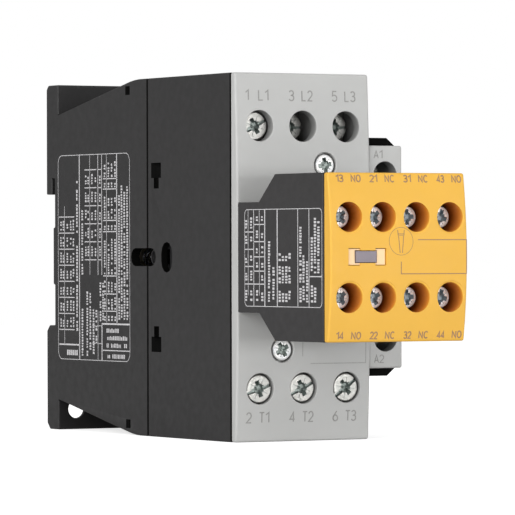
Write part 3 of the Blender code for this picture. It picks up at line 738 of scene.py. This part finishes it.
def rear_side_view():
    """The rear housing seen from the side, as in the CAD: flange, rail recess and sloping shoulders."""
    flange_front, half_at_flange = -1.9, 35.1
    recess_top, recess_bottom, slot_top, lip = 15.5, -16.8, 19.5, 1.5
    shoulder, blend = -42.2, 2.2
    slope = (TOP - half_at_flange) / (flange_front - shoulder)
    upper = [
        (SEAM, TOP), (shoulder - blend, TOP), (shoulder, TOP - slope * blend / 3),
        (shoulder + blend, TOP - slope * blend), (flange_front, half_at_flange), (flange_front, TOP),
    ]
    rail_side = [
        (BACK - 1.0, TOP), (BACK, TOP - 1.0), (BACK, recess_top), (lip, recess_top), (lip, slot_top),
        (0.0, slot_top), (0.0, recess_bottom), (BACK - 1.35, recess_bottom), (BACK, recess_bottom - 1.35),
        (BACK, BOTTOM + 1.5), (BACK - 1.5, BOTTOM),
    ]
    return upper + rail_side + [(y, -z) for y, z in reversed(upper)]


def build_rear_housing():
    """The rear housing with its rail pads, with painted shade in the seam and inside its pocket."""
    shell = prism("rear_shell", rear_side_view(), X, SIDES)
    pads = [block("pad", SIDES, (-1.0, 0.8), (-6.7, 7.35))]
    housing = within_shell("rear_housing", join(shell, pads), BLACK, 0.3, second=BLACK_SHADE)
    pocket_end = -10.0

    # Painted shade in the seam and on the inside walls of the pocket.
    def rear_dark(middle, normal):
        in_pocket = middle.y < pocket_end and abs(middle.x) < RIGHT - 0.25 and abs(middle.z) < TOP - 0.35
        return middle.y < SEAM + 0.32 or (in_pocket and abs(normal.x) < 0.99)

    paint(housing, rear_dark)


def build_front_housing():
    """The front housing with its grooves and seam lips, with painted shade on its front and inside."""
    groove, depth = 0.25, 0.45
    cutters = []
    for x in (-10.45, 1.05):
        for side in (BOTTOM, TOP):
            limits = (side - depth, side + depth)
            groove_y = (HOUSING_FRONT - 1, FACE_GROOVE_END)
            cutters.append(block("groove", (x - groove, x + groove), groove_y, limits))
    shell = block("front_shell", SIDES, (HOUSING_FRONT, HOUSING_BACK), (BOTTOM, TOP))
    inset, lip = 0.8, 1.1
    seam = (HOUSING_BACK - 0.3, SEAM - 0.04)
    lips = []
    for side in (-1, 1):
        outer, inner = side * (RIGHT - inset), side * (RIGHT - inset - lip)
        for z in ((BOTTOM + inset, -3.4), (3.4, TOP - inset)):
            lips.append(block("lip", sorted((outer, inner)), seam, z))
        outer, inner = side * (TOP - inset), side * (TOP - inset - lip)
        lips.append(block("lip", (LEFT + inset, RIGHT - inset), seam, sorted((outer, inner))))
    housing = within_shell("front_housing", shell, BLACK, 0.3, cutters, lips, BLACK_SHADE)

    # Painted shade on the faces towards the front and on the inside.
    def front_dark(middle, normal):
        inside = max(abs(middle.x) - RIGHT, abs(middle.z) - TOP) < -0.35 and middle.y > HOUSING_FRONT + 0.35
        return normal.y < -0.7 or inside

    paint(housing, front_dark)


def build_aux_housing():
    """The auxiliary housing: foot, slopes and the block under the cap, with room for the cap's wells."""
    root, root_half, slope_end = -102.6, 12.6, -110.0
    half = [(AUX_HOOKS, root_half), (root, root_half), (slope_end, CAP_TOP), (AUX_FRONT, CAP_TOP)]
    outline = half + [(y, -z) for y, z in reversed(half)]
    shell = prism("aux_shell", outline, X, (LEFT, CAP_RIGHT))
    wells = []
    well_radius, well_back = CAP_WELL + 0.3, -4.2
    for x, z in seats(AUX_SCREWS):
        well = turned("well", [(0, 1), (well_radius, 1), (well_radius, well_back), (0, well_back)], 40)
        wells.append(aim(well, (x, AUX_FRONT, z)))
    within_shell("aux_housing", shell, AUX_BLACK, 0.25, wells)


# ---------------------------------------------------------------- screws and clamps


class ScrewKind(NamedTuple):
    """One kind of screw. Its cross recess is opened times the standard size."""

    names: list
    thickness: float
    shank: float
    pitch: float
    slotted: bool
    opened: float
    plated: object
    # The material of painted shade and reflection for the faces in the recess.
    recessed: object


SCREW_KINDS = (
    ScrewKind(TERMINAL_SCREWS, 2.4, 1.95, 0.7, True, 1.0, ZINC, RECESS_SHADE),
    ScrewKind(COIL_SCREWS, 1.9, 1.6, 0.6, True, 1.0, ZINC, RECESS_SHADE),
    ScrewKind(COVER_SCREWS, 1.4, 1.25, 0.8, False, 1.25, AUX_ZINC, RECESS_SHADE),
    ScrewKind(AUX_SCREWS, 2.0, 1.5, 0.6, False, 1.25, AUX_ZINC, AUX_RECESS_SHADE),
)


def screw_mesh(kind, head, length):
    """A combination-head screw with its face at height 0: cross recess, slot, ticks and a rolled thread."""
    thickness, shank, pitch, edge = kind.thickness, kind.shank, kind.pitch, 0.35
    profile = [(0, 0), (head - edge, 0)]
    profile += arc((head - edge, -edge), edge, 75, 0, 4)
    profile += [(head, -thickness + 0.15), (head - 0.15, -thickness), (shank, -thickness)]
    height = -thickness - 0.8
    while height > -length + pitch:
        profile += [(shank - pitch * 0.45, height)]
        profile += [(shank, height - pitch * 0.4), (shank, height - pitch * 0.6)]
        height -= pitch
    profile += [(shank - pitch * 0.45, height), (shank * 0.6, -length), (0, -length)]
    screw = turned(f"{kind.names[0]}_fine", profile, 48)
    deep, shelf = thickness * 0.62, thickness * 0.22
    dimple = [(0, 0.3), (head * 0.34, 0.3), (head * 0.3, -deep * 0.6), (0, -deep * 1.25)]
    cutters = [turned("dimple", dimple, 20)]
    for turn, reach, half, down in ((0, 0.62, 0.17, 1.0), (45, 0.42, 0.09, 0.75)):
        for quarter in (0, 90):
            arm = tapered_arm(head * reach * kind.opened, head * half * kind.opened, deep * down)
            cutters.append(spun(arm, turn + quarter))
    if kind.slotted:
        along = (-head - 1, head + 1)
        cutters.append(block("slot", along, (-head * 0.15, head * 0.03), (-thickness * 0.38, 1)))
        cutters.append(block("slot_shelf", along, (head * 0.02, head * 0.17), (-shelf, 1)))
    for turn in (45, 135):
        tick = block("tick", (-head * 0.74, head * 0.74), (-0.06, 0.06), (-0.12, 1))
        cutters.append(spun(tick, turn))
    cut(screw, cutters)
    screw.data.materials.clear()
    screw.data.materials.append(kind.plated)
    screw.data.materials.append(kind.recessed)

    # Painted shade: the walls and floor of the recess, but not the slot's shelf, get the darker recess
    # material.
    def in_recess(middle, normal):
        on_shelf = kind.slotted and normal.z > 0.9 and abs(middle.z + shelf) < 0.01
        in_ring = math.hypot(middle.x, middle.y) < head - edge - 0.02
        return -thickness * 0.95 < middle.z < -0.03 and in_ring and not on_shelf

    paint(screw, in_recess)
    mesh = screw.data
    bpy.data.objects.remove(screw, do_unlink=True)
    return mesh


def spun(obj, turn):
    obj.matrix_world = Matrix.Rotation(math.radians(turn), 4, "Z")
    return obj


def tapered_arm(reach, half, depth):
    """One bar of a cross recess, whose ends slope inwards as it goes down."""
    outline = [(-reach, 0.2), (reach, 0.2), (reach * 0.6, -depth), (-reach * 0.6, -depth)]
    return prism("arm", outline, Y, (-half, half))


def build_screws():
    for kind in SCREW_KINDS:
        across, along = span(kind.names[0], X), span(kind.names[0], Y)
        mesh = screw_mesh(kind, (across[1] - across[0]) / 2, along[1] - along[0])
        for name, (x, z) in zip(kind.names, seats(kind.names)):
            screw = linked(f"{name}_fine", mesh.copy())
            aim(screw, (x, span(name, Y)[0], z), FRONT, SCREW_SPINS[name])
            finished(screw, name, kind.plated, 30)


def build_clamps():
    """The clamp plates, with grooves across the side that grips the wire."""
    half, depth = 0.45, 0.35
    clamps = [f"terminal_clamp_{name}" for name in POLES]
    clamps += [f"coil_terminal_clamp_{name}" for name in COILS]
    for name in clamps:
        x, y, z = (span(name, axis) for axis in (X, Y, Z))
        step = (z[1] - z[0]) / 6
        grooves = []
        for number in (1, 2, 4, 5):
            at = z[0] + step * number
            notch = [(y[1] + 0.2, at - half), (y[1] + 0.2, at + half), (y[1] - depth, at)]
            grooves.append(prism("groove", notch, X, (x[0] - 1, x[1] + 1)))
        refined(name, 0.18, ZINC, grooves)


# ---------------------------------------------------------------- contacts, magnet and moving parts


def paint_tips(obj, inner, outer, behind, sign):
    """Gives the faces of the contact tips, beyond a place on Y, the second material."""
    paint(obj, lambda middle, _: inner < abs(middle.z) < outer and sign * (middle.y - behind) > 0)


def build_contacts():
    main_tip, strip_face, main_height = (9.3, 12.5), -56.05, 1.15
    aux_tip, aux_height = (4.3, 6.1), 0.65
    for name in POLES:
        strip = refined(f"fixed_contact_{name}", 0.12, COPPER, second=SILVER)
        paint_tips(strip, *main_tip, strip_face, -1)
    for number in (1, 2, 3):
        node = f"moving_bridge_{number}"
        bridge = refined(node, 0.12, COPPER, second=SILVER)
        paint_tips(bridge, *main_tip, span(node, Y)[1] - main_height, 1)
    for number in (1, 2, 3, 4):
        node = f"aux_bridge_{number}"
        low, high = span(node, Y)
        bridge = refined(node, 0.1, COPPER, second=SILVER)
        closes = number in (1, 4)
        paint_tips(bridge, *aux_tip, high - aux_height if closes else low + aux_height, 1 if closes else -1)


def build_magnet():
    """The core halves with the rivets that hold their sheets together, the damper and the coil."""
    dome = [(0, 0.55), (0.9, 0.45), (1.5, 0.15), (1.6, -0.4), (0, -0.4)]
    for node, spine in (("magnet_yoke", -6.0), ("armature", span("armature", Y)[0] + 2.0)):
        refined(node, 0.15, CORE)
        for number, z in enumerate((-15.0, 0.0, 15.0)):
            for side, x, outwards in zip(("left", "right"), span(node, X), (-1, 1)):
                rivet = turned(f"{node}_rivet_{side}_{number}", dome, 24)
                finished(aim(rivet, (x, spine, z), (outwards, 0, 0)), node, ZINC, extra=True)
    refined("yoke_damper", 0.3, RUBBER)
    refined("coil_bobbin", 0.25, NATURAL)
    refined("coil_winding", 0.3, WINDING)


def build_moving_plastic():
    """The carrier, whose drive stub ends in a shallow cup with painted shade on its floor, the slider and
    the rail latch.
    """
    low = span("contact_carrier", X)[0]
    stub_y, stub_z, cup_radius, cup_depth = -50.7, 0.05, 1.55, 0.75
    cup = turned("cup", [(0, 1), (cup_radius, 1), (cup_radius, -cup_depth), (0, -cup_depth)], 40)
    cutters = [aim(cup, (low, stub_y, stub_z), (-1, 0, 0))]
    carrier = refined("contact_carrier", 0.12, DARK, cutters, BLACK_SHADE)
    # Painted shade on the cup's floor.
    paint(carrier, lambda middle, normal: abs(middle.x - low - cup_depth) < 0.05 and normal.x < -0.9)
    refined("aux_slider", 0.15, DARK)
    refined("rail_latch", 0.2, DARK)


def coil_spring(node, axis, radius, wire, turns, seat):
    """A wound wire in the place of a CAD spring. Its seat, end 0 or 1, goes into an anchor that nothing
    uses.
    """
    low, high = span(node, axis)
    at = centre(node)
    first, second = [other for other in (X, Y, Z) if other != axis]
    per_turn, end_turns = 20, 1.0
    start, length = low + wire, high - low - 2 * wire
    total = turns + 2 * end_turns
    count = int(total * per_turn)
    dead = 2 * wire * 1.02 * end_turns
    path = []
    for index in range(count + 1):
        turn = index / per_turn
        if turn < end_turns:
            rise = dead * turn / end_turns
        elif turn > total - end_turns:
            rise = length - dead * (total - turn) / end_turns
        else:
            rise = dead + (length - 2 * dead) * (turn - end_turns) / turns
        angle = 2 * math.pi * turn
        point = list(at)
        point[first] += radius * math.cos(angle)
        point[second] += radius * math.sin(angle)
        point[axis] = start + rise
        path.append(point)
    spring = tube(f"{node}_fine", path, wire, 8)
    finished(spring, node, SPRING, 80)
    direction, anchor = [0, 0, 0], [0, 0, 0]
    direction[axis], anchor[axis] = 1, (low, high)[seat] * MM
    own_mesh(spring)


def build_springs():
    for side in ("left", "right"):
        coil_spring(f"return_spring_{side}", Y, 2.0, 0.28, 6, 1)
    for number in (1, 2, 3):
        coil_spring(f"contact_spring_{number}", Y, 2.2, 0.3, 5, 0)
    coil_spring("rail_latch_spring", Z, 1.0, 0.22, 7, 0)


# ---------------------------------------------------------------- prints


def bowl(middle, radii, start, end, steps=10):
    """An elliptical arc of a letter."""
    return [
        (middle[0] + radii[0] * a, middle[1] + radii[1] * b) for a, b in arc((0, 0), 1, start, end, steps)
    ]


# Each letter is a few strokes in a box one high and 0.6 wide, or as wide as GLYPH_WIDTHS says
GLYPH_WIDTHS = {"1": 0.36, " ": 0.35}
GLYPHS = {
    " ": [],
    "1": [[(0.0, 0.76), (0.36, 1.0), (0.36, 0.0)]],
    "2": [bowl((0.3, 0.7), (0.29, 0.3), 165, -35) + [(0.0, 0.0), (0.6, 0.0)]],
    "3": [bowl((0.28, 0.76), (0.27, 0.24), 155, -90) + bowl((0.28, 0.27), (0.31, 0.27), 85, -155)],
    "4": [[(0.44, 0.0), (0.44, 1.0), (0.0, 0.26), (0.6, 0.26)]],
    "5": [[(0.55, 1.0), (0.08, 1.0), (0.04, 0.55)] + bowl((0.28, 0.31), (0.31, 0.31), 120, -150)],
    "6": [[(0.47, 1.0), (0.06, 0.47)] + bowl((0.3, 0.29), (0.3, 0.29), 150, -210, 16)],
    "A": [[(0.0, 0.0), (0.3, 1.0), (0.6, 0.0)], [(0.1, 0.3), (0.5, 0.3)]],
    "C": [bowl((0.32, 0.5), (0.3, 0.5), 45, 315, 16)],
    "L": [[(0.0, 1.0), (0.0, 0.0), (0.5, 0.0)]],
    "N": [[(0.02, 0.0), (0.02, 1.0), (0.56, 0.0), (0.56, 1.0)]],
    "O": [bowl((0.3, 0.5), (0.3, 0.5), 0, 360, 20)],
    "T": [[(0.0, 1.0), (0.6, 1.0)], [(0.3, 1.0), (0.3, 0.0)]],
}


class Print:
    """Thin raised marks, drawn flat as (u, v) shapes and laid on a surface."""

    def __init__(self, name, place):
        self.name = name
        self.place = place
        self.bm = bmesh.new()

    def _vert(self, point, height):
        return self.bm.verts.new(Vector(self.place(point[0], point[1], height)) * MM)

    def strip(self, left, right, closed=False):
        """A closed thin solid between two rows of points."""
        rings = []
        for a, b in zip(left, right):
            rings.append([
                self._vert(a, -PRINT_SUNK),
                self._vert(b, -PRINT_SUNK),
                self._vert(b, PRINT_PROUD),
                self._vert(a, PRINT_PROUD),
            ])
        pairs = list(zip(rings, rings[1:]))
        if closed:
            pairs.append((rings[-1], rings[0]))
        for one, two in pairs:
            for step in range(4):
                nxt = (step + 1) % 4
                self.bm.faces.new((one[step], one[nxt], two[nxt], two[step]))
        if not closed:
            self.bm.faces.new(rings[0])
            self.bm.faces.new(rings[-1])

    def bar(self, u, v):
        self.strip([(u[0], v[0]), (u[0], v[1])], [(u[1], v[0]), (u[1], v[1])])

    def line(self, points, width, closed=False, longest=1.5):
        """A drawn line with mitred corners, divided finely enough to lie on a bowed surface."""
        fine = []
        ends = list(zip(points, points[1:])) + ([(points[-1], points[0])] if closed else [])
        for start, end in ends:
            count = max(1, math.ceil(math.dist(start, end) / longest))
            for step in range(count):
                share = step / count
                fine.append(tuple(a + (b - a) * share for a, b in zip(start, end)))
        if not closed:
            fine.append(points[-1])
        left, right = [], []
        count = len(fine)
        for index, point in enumerate(fine):
            before = fine[index - 1] if closed or index > 0 else None
            after = fine[(index + 1) % count] if closed or index < count - 1 else None
            ways = []
            if before:
                ways.append(Vector((point[0] - before[0], point[1] - before[1])).normalized())
            if after:
                ways.append(Vector((after[0] - point[0], after[1] - point[1])).normalized())
            way = sum(ways, Vector((0, 0))).normalized()
            across = Vector((-way.y, way.x))
            stretch = 1 / max(0.5, abs(way.dot(ways[0])))
            offset = across * width / 2 * stretch
            left.append((point[0] + offset.x, point[1] + offset.y))
            right.append((point[0] - offset.x, point[1] - offset.y))
        self.strip(left, right, closed)

    def lettering(self, text, u, v, width):
        """Stroked lettering fitted between limits on both axes, with its strokes inside them."""
        advance = [GLYPH_WIDTHS.get(letter, 0.6) + 0.2 for letter in text]
        total = sum(advance) - 0.2
        low_u, low_v = u[0] + width / 2, v[0] + width / 2
        scale_u = (u[1] - u[0] - width) / total
        scale_v = v[1] - v[0] - width
        at = 0.0
        for letter, step in zip(text, advance):
            for stroke in GLYPHS[letter]:
                points = [(low_u + (at + a) * scale_u, low_v + b * scale_v) for a, b in stroke]
                self.line(points, width)
            at += step

    def finish(self, node, material):
        bmesh.ops.remove_doubles(self.bm, verts=self.bm.verts, dist=0.0005 * MM)
        obj = from_bmesh(self.bm, self.name)
        obj.data.materials.append(material)
        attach(obj, body_of(node))


def on_front(surface):
    return lambda u, v, height: (u, surface(v) - height, v)


def on_left(u, v, height):
    """Marks on the left side: u runs along Y and v along Z."""
    return (LEFT - height, u, v)


def build_front_marks():
    marks = Print("front_terminal_marks", on_front(cover_surface))
    pitch, letter_height, stroke = 11.5, 2.6, 0.31
    digit_start, digit_end, narrow_digit_end = -19.9, -18.35, -18.9
    name_start, name_end, narrow_name_end = -16.5, -13.45, -13.7
    for pole in range(3):
        shift = pitch * pole
        for digit, name, low in (
            (str(2 * pole + 1), f"L{pole + 1}", 36.0),
            (str(2 * pole + 2), f"T{pole + 1}", -38.15),
        ):
            v = (low, low + letter_height)
            end = narrow_digit_end if digit == "1" else digit_end
            marks.lettering(digit, (digit_start + shift, end + shift), v, stroke)
            end = narrow_name_end if pole == 0 else name_end
            marks.lettering(name, (name_start + shift, end + shift), v, stroke)
    marks.finish("front_cover", GREY_INK)
    lines = Print("front_lines", on_front(cover_surface))
    for points in ([(-5.15, -14.0), (-5.15, -22.9)], [(-3.0, -24.6), (11.8, -24.6), (11.8, -14.0)]):
        lines.line(points, 0.22)
    lines.finish("front_cover", PALE_INK)
    coil = Print("coil_terminal_marks", on_front(lambda _: COIL_COVER_FRONT))
    coil.lettering("A1", (14.75, 17.2), (22.95, 24.95), 0.24)
    coil.lettering("A2", (14.75, 17.5), (-24.8, -22.8), 0.24)
    coil.finish("coil_terminal_cover", GREY_INK)


def build_cap_marks():
    marks = Print("aux_terminal_marks", on_front(cap_surface))
    upper_row, lower_row, letter_height, stroke = 16.65, -18.25, 1.76, 0.29
    poles = zip(seats(AUX_SCREWS[:4]), (13, 21, 31, 43), ("NO", "NC", "NC", "NO"))
    for (x, _), number, kind in poles:
        for digits, low in ((str(number), upper_row), (str(number + 1), lower_row)):
            v = (low, low + letter_height)
            marks.lettering(digits, (x - 3.04, x - 0.96), v, stroke)
            marks.lettering(kind, (x + 0.85, x + 3.5), v, stroke)
    u, v, radius = -4.3, 3.57, 3.1
    marks.line(arc((u, v), radius, 0, 360, 48)[:-1], 0.1, closed=True)
    for side in (-1, 1):
        marks.line([(u + side * 0.85, v + 2.5), (u + side * 0.75, v + 1.4)], 0.18)
        marks.line([(u + side * 0.65, v + 1.2), (u + side * 0.3, v - 2.6)], 0.18)
    for height in (1.35, 1.65):
        marks.line([(u - 0.85, v + height), (u + 0.85, v + height)], 0.14)
    frame_right, frame_top, frame_bottom = 12.85, 3.9, -3.7
    outline = [(0.1, frame_top), (frame_right, frame_top), (frame_right, frame_bottom), (u, frame_bottom)]
    marks.line(outline + [(u, -0.96)], 0.2)
    marks.finish("aux_front_cap", BROWN_INK)


def greeked(marks, rng, u, v, size=0.5, share=1.0):
    """A row of small blocks of uneven height between two ends on v, in place of a line of small print."""
    gap = 0.24
    at = v[0]
    end = v[0] + (v[1] - v[0]) * share
    while at + size < end:
        if rng.random() < 0.14:
            at += size
            continue
        width = size * rng.uniform(0.7, 1.1)
        depth = (u[1] - u[0]) * rng.choice((0.0, 0.0, 0.12, 0.25))
        marks.bar((u[0] + depth, u[1]), (at, at + width))
        at += width + gap


def greeked_across(marks, rng, u, v, size=0.6):
    """The same along u."""
    gap = 0.3
    at = u[0]
    while at + size < u[1]:
        width = size * rng.uniform(0.6, 1.1)
        if rng.random() > 0.1:
            marks.bar((at, at + width), (v[0], v[1] - (v[1] - v[0]) * rng.choice((0, 0, 0.2))))
        at += width + gap


THIN, MEDIUM, THICK = 0.15, 0.24, 0.38


def rules(marks, rows):
    """Long rules along Z, from (place on Y, low, high, width)."""
    for u, low, high, width in rows:
        marks.line([(u, low), (u, high)], width, longest=60)


def ticks(marks, levels, reach, width):
    """Short rules along Y at several heights."""
    for z in levels:
        marks.line([(reach[0], z), (reach[1], z)], width, longest=60)


def build_rating_label():
    """The rating table on the rear housing, with rows of small blocks in place of its print."""
    marks = Print("rating_label_marks", on_left)
    rng = random.Random(7)
    back, front, half, inner = -2.0, -39.8, 25.0, 24.9
    marks.line(rounded_rectangle((front, back), (-half, half), 2.0), THIN, closed=True, longest=5)
    middle, lower = -4.25, -15.75
    rules(marks, [
        (-5.4, -21.4, 12.6, THIN), (-13.45, -inner, inner, THICK), (-19.0, middle, inner, THIN),
        (-23.3, middle, inner, MEDIUM), (-25.3, middle, inner, MEDIUM), (-27.8, lower, inner, THIN),
        (-33.15, lower, inner, THICK), (-23.2, -inner, -12.9, THIN),
    ])
    voltages = [21.3 - 4.38 * step for step in range(6)]
    ticks(marks, voltages, (-16.3, -22.5), MEDIUM)
    ticks(marks, voltages, (-23.3, -25.3), MEDIUM)
    sizes = (19.0, 16.5, 8.9, 6.2, -4.5, -8.85, -13.0)
    ticks(marks, sizes, (-26.0, -33.15), MEDIUM)
    powers = [9.9 - 3.95 * step for step in range(8)]
    ticks(marks, powers, (-2.5, -10.7), MEDIUM)
    ticks(marks, (-21.4,), (-2.5, -13.45), THICK)
    ticks(marks, (-16.6, -20.9), (-20.2, -25.1), THIN)
    box_top, box_back = -16.1, -25.3
    ticks(marks, (box_top,), (front + 0.1, box_back), THICK)
    ticks(marks, (-22.5,), (front + 0.1, box_back), MEDIUM)
    rules(marks, [(box_back, -inner, box_top, THICK)])

    for upper in powers[:-1]:
        for u in (-3.9, -5.2, -7.3, -9.2, -10.6):
            greeked(marks, rng, (u, u + 0.75), (upper - 3.3, upper - 0.7))
    for upper in voltages[:-1]:
        for u in (-17.3, -18.6, -20.6, -22.4, -24.8):
            greeked(marks, rng, (u, u + 0.75), (upper - 3.5, upper - 0.9))
    edges = (inner - 1.0,) + sizes + (lower,)
    for high, low in zip(edges, edges[1:]):
        for u in (-27.3, -29.3, -31.0, -32.7):
            greeked(marks, rng, (u, u + 0.8), (low + 0.4, high - 0.4), share=rng.uniform(0.75, 1.0))
    for low, high in ((6.0, 20.0), (-18.0, 3.7)):
        greeked(marks, rng, (-12.6, -12.6 + 0.85), (low, high), 0.7)
    for u, low, high in (
        (-15.4, -4.2, 12.4), (-15.4, -24.0, -12.0), (-18.0, -24.0, -8.0), (-19.6, -22.5, -8.0),
        (-21.3, -24.0, -12.5), (-22.8, -21.0, -12.5), (-25.0, -15.5, -5.5), (-26.4, -15.2, -5.5),
        (-34.8, -15.0, 15.0), (-36.1, -15.0, 18.0), (-37.5, -15.0, 16.0), (-39.0, -15.0, 17.5),
    ):
        greeked(marks, rng, (u, u + 0.85), (low, high))
    lines = ((-18.2, -34.0, -27.2), (-20.0, -38.4, -27.2), (-21.8, -38.2, -27.2), (-24.4, -37.2, -28.0))
    for z, low, high in lines:
        greeked_across(marks, rng, (low, high), (z, z + 1.0))
    greeked_across(marks, rng, (-12.4, -5.8), (-24.0, -22.7), 0.9)
    marks.finish("rear_housing", WHITE_INK)


def build_aux_label():
    """The smaller table on the auxiliary housing."""
    marks = Print("aux_label_marks", on_left)
    rng = random.Random(11)
    front, back, low, high = -131.2, -96.2, -11.1, 10.9
    marks.line(rounded_rectangle((front, back), (low, high), 1.2), THIN, closed=True, longest=5)
    bottom, top = low + 0.1, high - 0.1
    rules(marks, [
        (-97.8, -8.6, top, THIN), (-100.4, bottom, top, MEDIUM), (-103.0, -8.6, top, THIN),
        (-105.5, bottom, top, THICK), (-111.2, bottom, top, THICK), (-120.5, bottom, top, MEDIUM),
        (-125.5, bottom, top, MEDIUM),
    ])
    alternating = (5.8, 1.85, -2.05, -6.05)
    direct = (7.5, 3.6, 0.15, -3.1, -6.05)
    ticks(marks, alternating, (back - 0.2, -100.4), MEDIUM)
    ticks(marks, direct, (-100.4, -105.5), MEDIUM)
    ticks(marks, (-4.25,), (-125.5, front + 0.1), MEDIUM)
    for levels, places in ((alternating, (-97.4, -99.7)), (direct, (-102.4, -104.8))):
        edges = (high - 0.6,) + levels + (low + 0.4,)
        for upper, lower in zip(edges, edges[1:]):
            for u in places:
                greeked(marks, rng, (u, u + 0.95), (lower + 0.8, upper - 0.8))
    groups = ((-5.8, -1.5), (-0.8, 1.0))
    for u, ends in (
        (-108.0, ((-10.0, 4.0),)),
        (-110.0, ((-10.0, -1.5),)),
        *((u, ((-10.0, -7.4), *groups)) for u in (-112.8, -114.3, -115.8)),
        (-117.3, ((-9.4, -7.4), *groups)),
        (-122.2, ((-10.0, 7.5),)),
        (-123.6, ((-10.0, 1.0),)),
        (-125.2, ((-10.0, -0.4),)),
        (-127.3, ((-10.0, -6.0), (-3.5, 5.0))),
        (-128.7, ((-10.0, -6.0), (-3.5, 9.0))),
        (-130.2, ((-3.5, 8.6),)),
    ):
        for v in ends:
            greeked(marks, rng, (u, u + 1.0), v)
    marks.finish("aux_housing", WHITE_INK)


# ---------------------------------------------------------------- stage


def build_stage():
    """A round pale floor under the contactor."""
    radius, steps = 1500.0, 96
    bm = bmesh.new()
    rim = [bm.verts.new(Vector((x, y, BOTTOM)) * MM) for x, y in arc((0, 0), radius, 0, 360, steps)[:-1]]
    bm.faces.new(rim)
    mesh = bpy.data.meshes.new("stage_floor")
    bm.to_mesh(mesh)
    bm.free()
    mesh.materials.append(stage_paper())
    linked("stage_floor", mesh)


def add_lamp(name, at, target, size, power, height=None):
    lamp = bpy.data.lights.new(name, "AREA")
    lamp.shape = "RECTANGLE"
    lamp.size = size * MM
    lamp.size_y = (height or size) * MM
    lamp.energy = power
    obj = linked(name, lamp)
    obj.location = Vector(at) * MM
    direction = (Vector(target) - Vector(at)).normalized()
    obj.rotation_euler = direction.to_track_quat("-Z", "Y").to_euler()


def build_light():
    world = bpy.data.worlds.new("studio")
    bpy.context.scene.world = world
    world.use_nodes = True
    tree = world.node_tree
    seen = tree.nodes.new("ShaderNodeLightPath").outputs["Is Camera Ray"]
    strength = tree.nodes.new("ShaderNodeMapRange")
    strength.inputs["To Min"].default_value = 0.43
    strength.inputs["To Max"].default_value = 1.0
    tree.links.new(seen, strength.inputs["Value"])
    tree.links.new(strength.outputs["Result"], tree.nodes["Background"].inputs["Strength"])
    tree.nodes["Background"].inputs["Color"].default_value = (1, 1, 1, 1)
    middle = (0, -60, 0)
    add_lamp("key_softbox", (-950, -560, 230), middle, 700, 8.6)
    add_lamp("fill_softbox", (300, -1150, 60), middle, 1000, 2.3)
    add_lamp("low_softbox", (250, -1050, 10), (0, -60, 10), 900, 2.6, 100)
    add_lamp("top_softbox", (0, -500, 1200), middle, 1200, 3.0)


CAMERA_AT = (-520.66, -986.57, 1.92)
CAMERA_YAW = 29.39
CAMERA_PITCH = -0.109
CAMERA_ROLL = -0.145
CAMERA_LENS = 312.3


def build_camera():
    yaw, pitch, roll = (math.radians(a) for a in (CAMERA_YAW, CAMERA_PITCH, CAMERA_ROLL))
    forward = Vector((
        math.sin(yaw) * math.cos(pitch),
        math.cos(yaw) * math.cos(pitch),
        math.sin(pitch),
    ))
    level = Vector((math.cos(yaw), -math.sin(yaw), 0))
    upright = level.cross(forward)
    right = level * math.cos(roll) + upright * math.sin(roll)
    up = right.cross(forward)
    camera = bpy.data.cameras.new("camera")
    camera.sensor_width = 36
    camera.lens = CAMERA_LENS
    camera.clip_start, camera.clip_end = 0.05, 20
    obj = linked("camera", camera)
    turn = Matrix((right, up, -forward)).transposed().to_4x4()
    obj.matrix_world = Matrix.Translation(Vector(CAMERA_AT) * MM) @ turn
    bpy.context.scene.camera = obj


for build in (
    build_camera, build_stage, build_light, build_front_cover, build_coil_cover, build_aux_cap,
    build_indicator,
    build_rear_housing, build_front_housing, build_aux_housing, build_screws, build_clamps, build_contacts,
    build_magnet, build_moving_plastic, build_springs, build_front_marks, build_cap_marks,
    build_rating_label, build_aux_label,
):
    build()
bpy.context.scene.view_settings.view_transform = "Standard"
